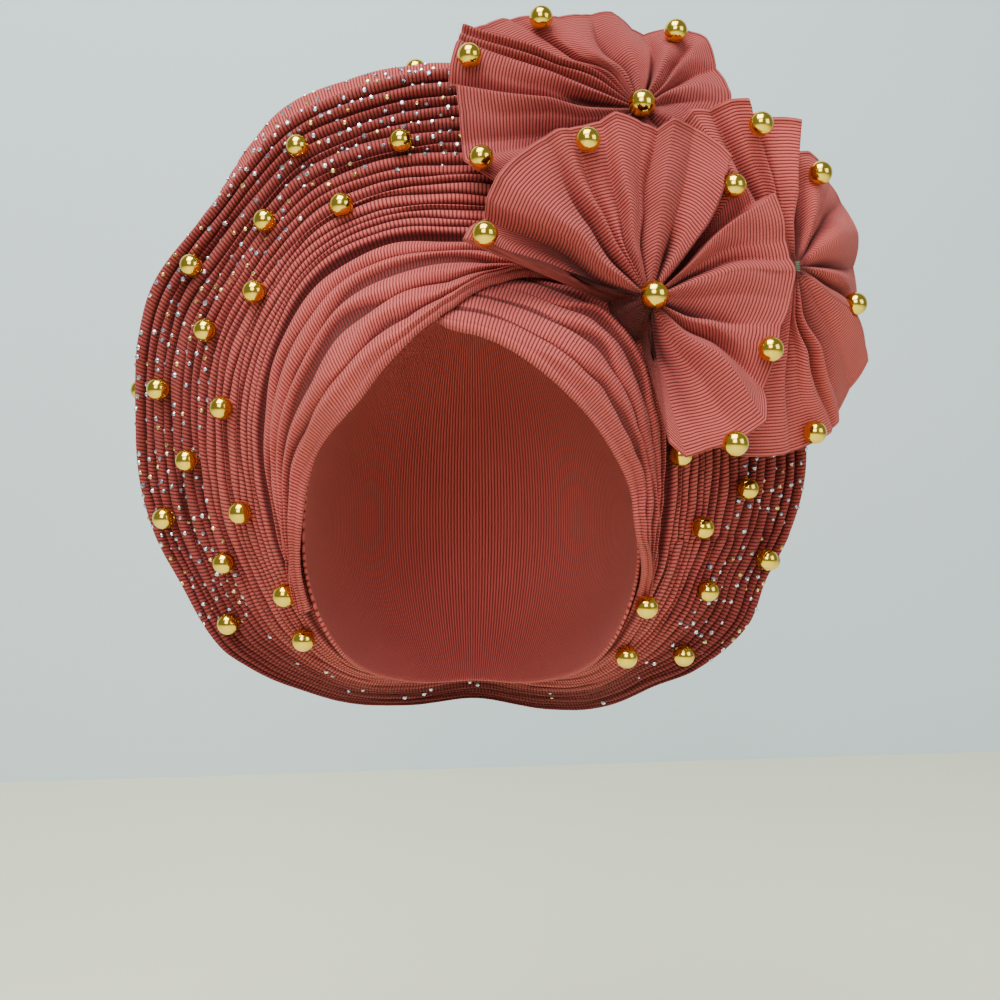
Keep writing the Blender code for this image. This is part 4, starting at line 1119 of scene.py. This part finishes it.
def makeBalls():
    names = sorted(name for name in nodes if name.startswith("bead_"))
    boxes = [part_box(name) for name in names]
    mesh = bpy.data.meshes.new("ballPlaces")
    mesh.from_pydata([tuple((low + high) / 2) for low, high in boxes], [], [])
    sizes = mesh.attributes.new("ballSize", "FLOAT", "POINT")
    sizes.data.foreach_set("value", [(high.z - low.z) / 2 for low, high in boxes])
    places = bpy.data.objects.new("ballPlaces", mesh)
    bpy.context.scene.collection.objects.link(places)
    values = {"Segments": ball["segments"], "Rings": ball["rings"], "Finish": gildedBall}
    piece = runTree(places, ballTree(), values, "goldBalls")
    turnOutwards(piece)
    settle(piece, "gold_ball", *names)
    return piece, places


# Small cut stones

def makeStone(name):
    # A round stone with a table, sixteen crown facets and a flat back
    work = bmesh.new()
    table = [(0.52 * math.cos(a), 0.52 * math.sin(a), 0.62) for a in np.arange(8) * math.pi / 4]
    girdle = [(math.cos(a), math.sin(a), 0.12) for a in (np.arange(8) + 0.5) * math.pi / 4]
    foot = [(0.9 * x, 0.9 * y, -0.25) for x, y, z in girdle]
    rings = [[work.verts.new(point) for point in ring] for ring in (table, girdle, foot)]
    work.faces.new(rings[0])
    work.faces.new(rings[2][::-1])
    for place in range(8):
        after = (place + 1) % 8
        work.faces.new((rings[0][place], rings[1][place], rings[0][after]))
        work.faces.new((rings[0][after], rings[1][place], rings[1][after]))
        work.faces.new((rings[1][place], rings[2][place], rings[2][after], rings[1][after]))
    bmesh.ops.recalc_face_normals(work, faces=work.faces)
    mesh = bpy.data.meshes.new(name)
    work.to_mesh(mesh)
    work.free()
    stone = bpy.data.objects.new(name, mesh)
    bpy.context.scene.collection.objects.link(stone)
    return stone


def stoneTree():
    # Stones strewn over the pleats' ridges, clear of the balls, a share of them for each finish
    tree, entry = openTree("stones", [
        ("Stone", "Object"), ("Balls", "Object"), ("Radius", "Float"), ("Spacing", "Float"),
        ("Density", "Float"), ("From Share", "Float"), ("To Share", "Float"), ("Ball Room", "Float"),
        ("Seed", "Int"), ("Finish", "Material"),
    ])
    room = entry.add("GeometryNodeInputNamedAttribute", {"data_type": "FLOAT"}, {"Name": "stoneRoom"})
    strewn = entry.add("GeometryNodeDistributePointsOnFaces", {"distribute_method": "POISSON"}, {
        "Mesh": entry.of("Geometry"), "Distance Min": entry.of("Spacing"),
        "Density Max": entry.of("Density"), "Density Factor": room, "Seed": entry.of("Seed"),
    })
    stone = entry.add("GeometryNodeObjectInfo", sockets={"Object": entry.of("Stone")}).of("Geometry")
    balls = entry.add("GeometryNodeObjectInfo", sockets={"Object": entry.of("Balls")}).of("Geometry")
    near = entry.add("GeometryNodeProximity", {"target_element": "POINTS"}, {0: balls}).of("Distance")
    pick = entry.add("FunctionNodeRandomValue", {"data_type": "FLOAT"}, {
        2: 0.0, 3: 1.0, "Seed": 3,
    }, 1)
    size = entry.add("FunctionNodeRandomValue", {"data_type": "FLOAT"}, {2: 0.85, 3: 1.15, "Seed": 5}, 1)
    keep = pick.math("GREATER_THAN", entry.of("From Share")) * pick.math("LESS_THAN", entry.of("To Share"))
    keep = keep * near.math("GREATER_THAN", entry.of("Ball Room"))
    placed = strewn.add("GeometryNodeInstanceOnPoints", sockets={
        "Points": strewn, "Selection": keep, "Instance": stone, "Rotation": strewn.of("Rotation"),
        "Scale": size * entry.of("Radius"),
    })
    return closeTree(tree, placed, entry)


def makeStones(carriers, places):
    # Both cloths that carry stones, joined for the strewing alone
    work = bmesh.new()
    for carrier in carriers:
        work.from_mesh(carrier.data)
    mesh = bpy.data.meshes.new("stoneGround")
    work.to_mesh(mesh)
    work.free()
    ground = bpy.data.objects.new("stoneGround", mesh)
    bpy.context.scene.collection.objects.link(ground)
    stone, tree = makeStone("cutStone"), stoneTree()
    made = []
    for name, slot, finish, low, high in (
        ("clearStones", "clear_stone", clearStone, stones["goldShare"], 1.01),
        ("goldStones", "gold_stone", goldStone, -0.01, stones["goldShare"]),
    ):
        piece = runTree(ground, tree, {
            "Stone": stone, "Balls": places, "Radius": stones["radius"], "Spacing": stones["spacing"],
            "Density": stones["perSquareMetre"], "From Share": low, "To Share": high,
            "Ball Room": stones["ballRoom"], "Seed": stones["seed"], "Finish": finish,
        }, name)
        piece.data.shade_flat()
        settle(piece, slot)
        made.append(piece)
        print(name, len(piece.data.polygons) // 26, "stones")
    for spare in (ground, stone, places):
        bpy.data.objects.remove(spare)
    return made


# The thread that ties the side rosette's middle

tie = {"turns": 5, "thickness": 0.00042, "width": 0.0011, "height": 0.0021, "pitch": 0.00062}


def makeTie():
    look = tie
    name, node, radius, stand, folds, bearing, share, turn, tilt = rosetteTable[1]
    middle, right, up, facing = rosetteFrame(stand, bearing, share, turn, tilt)
    rounds = np.linspace(0, look["turns"] * 2 * np.pi, look["turns"] * 24 + 1)
    along = (rounds / (2 * np.pi) - look["turns"] / 2) * look["pitch"]
    line = (
        middle + facing * 0.0026 + up * along[:, None] * 1.4
        + right * (look["width"] * np.cos(rounds))[:, None]
        + facing * (look["width"] * 0.8 * np.sin(rounds))[:, None]
    )
    curve = bpy.data.curves.new("threadTie", "CURVE")
    curve.dimensions = "3D"
    curve.bevel_depth = look["thickness"] / 2
    curve.bevel_resolution = 2
    curve.use_fill_caps = True
    spline = curve.splines.new("POLY")
    spline.points.add(len(line) - 1)
    for point, spot in zip(spline.points, line):
        point.co = (*spot, 1)
    rough = bpy.data.objects.new("threadTie", curve)
    bpy.context.scene.collection.objects.link(rough)
    mesh = bpy.data.meshes.new_from_object(rough.evaluated_get(bpy.context.evaluated_depsgraph_get()))
    bpy.data.objects.remove(rough)
    mesh.materials.clear()
    mesh.materials.append(tyingThread)
    mesh.name = "threadTie"
    piece = bpy.data.objects.new("threadTie", mesh)
    bpy.context.scene.collection.objects.link(piece)
    turnOutwards(piece)
    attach(piece, "root")
    return piece


# Room, lights and camera

room = {
    "floorZ": -0.532, "wallLeft": (-0.627, 1.017), "wallRight": (0.661, 1.160),
    "floorColour": (0.88, 0.875, 0.64), "wallColour": (0.67, 0.80, 0.86),
}


def plainMaterial(name, colour, roughness):
    material, start, shader = startMaterial(name)
    where = start.add("ShaderNodeTexCoord").of("Object")
    mottle = start.add("ShaderNodeTexNoise", sockets={"Vector": where, "Scale": 3.0, "Detail": 3.0})
    darker = tuple(part * 0.94 for part in colour)
    feed(mottle.mix((*colour, 1), (*darker, 1)), shader, "Base Color")
    shader.inputs["Roughness"].default_value = roughness
    return material


def makeRoom():
    left, right = Vector((*room["wallLeft"], 0)), Vector((*room["wallRight"], 0))
    way = (right - left).normalized()
    low, high = left - way * 3, right + way * 3
    z = room["floorZ"]
    nearLow, nearHigh = low + Vector((0, -4, 0)), high + Vector((0, -4, 0))
    for name, corners, finish in (
        ("tableTop", [(*low.xy, z), (*nearLow.xy, z), (*nearHigh.xy, z), (*high.xy, z)],
         plainMaterial("tableTop", room["floorColour"], 0.45)),
        ("wall", [(*low.xy, z), (*high.xy, z), (*high.xy, z + 3), (*low.xy, z + 3)],
         plainMaterial("wall", room["wallColour"], 0.8)),
    ):
        mesh = bpy.data.meshes.new(name)
        mesh.from_pydata(corners, [], [(0, 1, 2, 3)])
        mesh.materials.append(finish)
        plane = bpy.data.objects.new(name, mesh)
        bpy.context.scene.collection.objects.link(plane)
        plane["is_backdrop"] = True


lights = [
    # name, place, aimed at, size, power, colour
    ("overhead", (-0.35, -0.85, 1.90), (0.0, 0.05, -0.10), 1.5, 88.0, (1.0, 0.99, 0.96)),
    ("front", (-0.35, -1.7, 0.70), (0.0, 0.0, -0.05), 0.9, 18.5, (1.0, 0.98, 0.95)),
    ("rightFill", (1.2, -0.9, 0.4), (0.0, 0.0, -0.05), 0.8, 7.0, (0.94, 0.97, 1.0)),
]
camera = {"place": (0.0126, -0.585, -0.052), "focal": 46.8, "down": math.atan(100 / 1300)}


def makeLights():
    for name, place, aim, size, power, colour in lights:
        lamp = bpy.data.lights.new(name, "AREA")
        lamp.size, lamp.energy, lamp.color = size, power, colour
        light = bpy.data.objects.new(name, lamp)
        light.location = place
        light.rotation_euler = (Vector(aim) - Vector(place)).to_track_quat("-Z", "Y").to_euler()
        bpy.context.scene.collection.objects.link(light)
    world = bpy.data.worlds.new("room")
    world.use_nodes = True
    world.node_tree.nodes["Background"].inputs["Color"].default_value = (0.80, 0.86, 0.92, 1)
    world.node_tree.nodes["Background"].inputs["Strength"].default_value = 0.30
    bpy.context.scene.world = world


def makeCamera():
    lens = bpy.data.cameras.new("camera")
    lens.lens, lens.sensor_width = camera["focal"], 36.0
    lens.clip_start = 0.02
    eye = bpy.data.objects.new("camera", lens)
    eye.location = camera["place"]
    eye.rotation_euler = (math.pi / 2 - camera["down"], 0, 0)
    bpy.context.scene.collection.objects.link(eye)
    bpy.context.scene.camera = eye


# Everything, in order

makeCamera()
makeLights()
makeRoom()
print("camera, lights and room made")

capCloth = makeCap()
rightBand = makeBand(
    "rightBand", rightEdge, lambda bearing, share, depth: rightStand(bearing, share),
    lambda bearing, share, depth: np.maximum(seat, rightStand(bearing, share) - band["wall"]),
    61, lambda bearing: np.clip((74 - bearing) / 10, 0.1, 1.0), "wrap_right",
)
leftBand = makeBand(
    "leftBand", leftEdge, leftStand,
    lambda bearing, share, depth: np.maximum.reduce([
        np.full(np.broadcast_shapes(bearing.shape, depth.shape), seat), rightCover(bearing, depth),
        leftStand(bearing, share, depth) - band["wall"],
    ]),
    67, lambda bearing: np.ones_like(bearing), "wrap_left",
)
print("cap and bands made")
fanCloth = makeFan()
backCloth = makeBack()
print("fan and back made")
rosettes = [makeRosette(*row) for row in rosetteTable]
print("rosettes made")
goldBalls, ballPlaces = makeBalls()
stonePieces = makeStones([fanCloth, backCloth], ballPlaces)
threadTie = makeTie()
print("balls, stones and tie made")

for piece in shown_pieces():
    print(piece.name, len(piece.data.loop_triangles), "triangles",
          round(sum(face.area for face in piece.data.polygons) / 2, 4), "m2 half area")
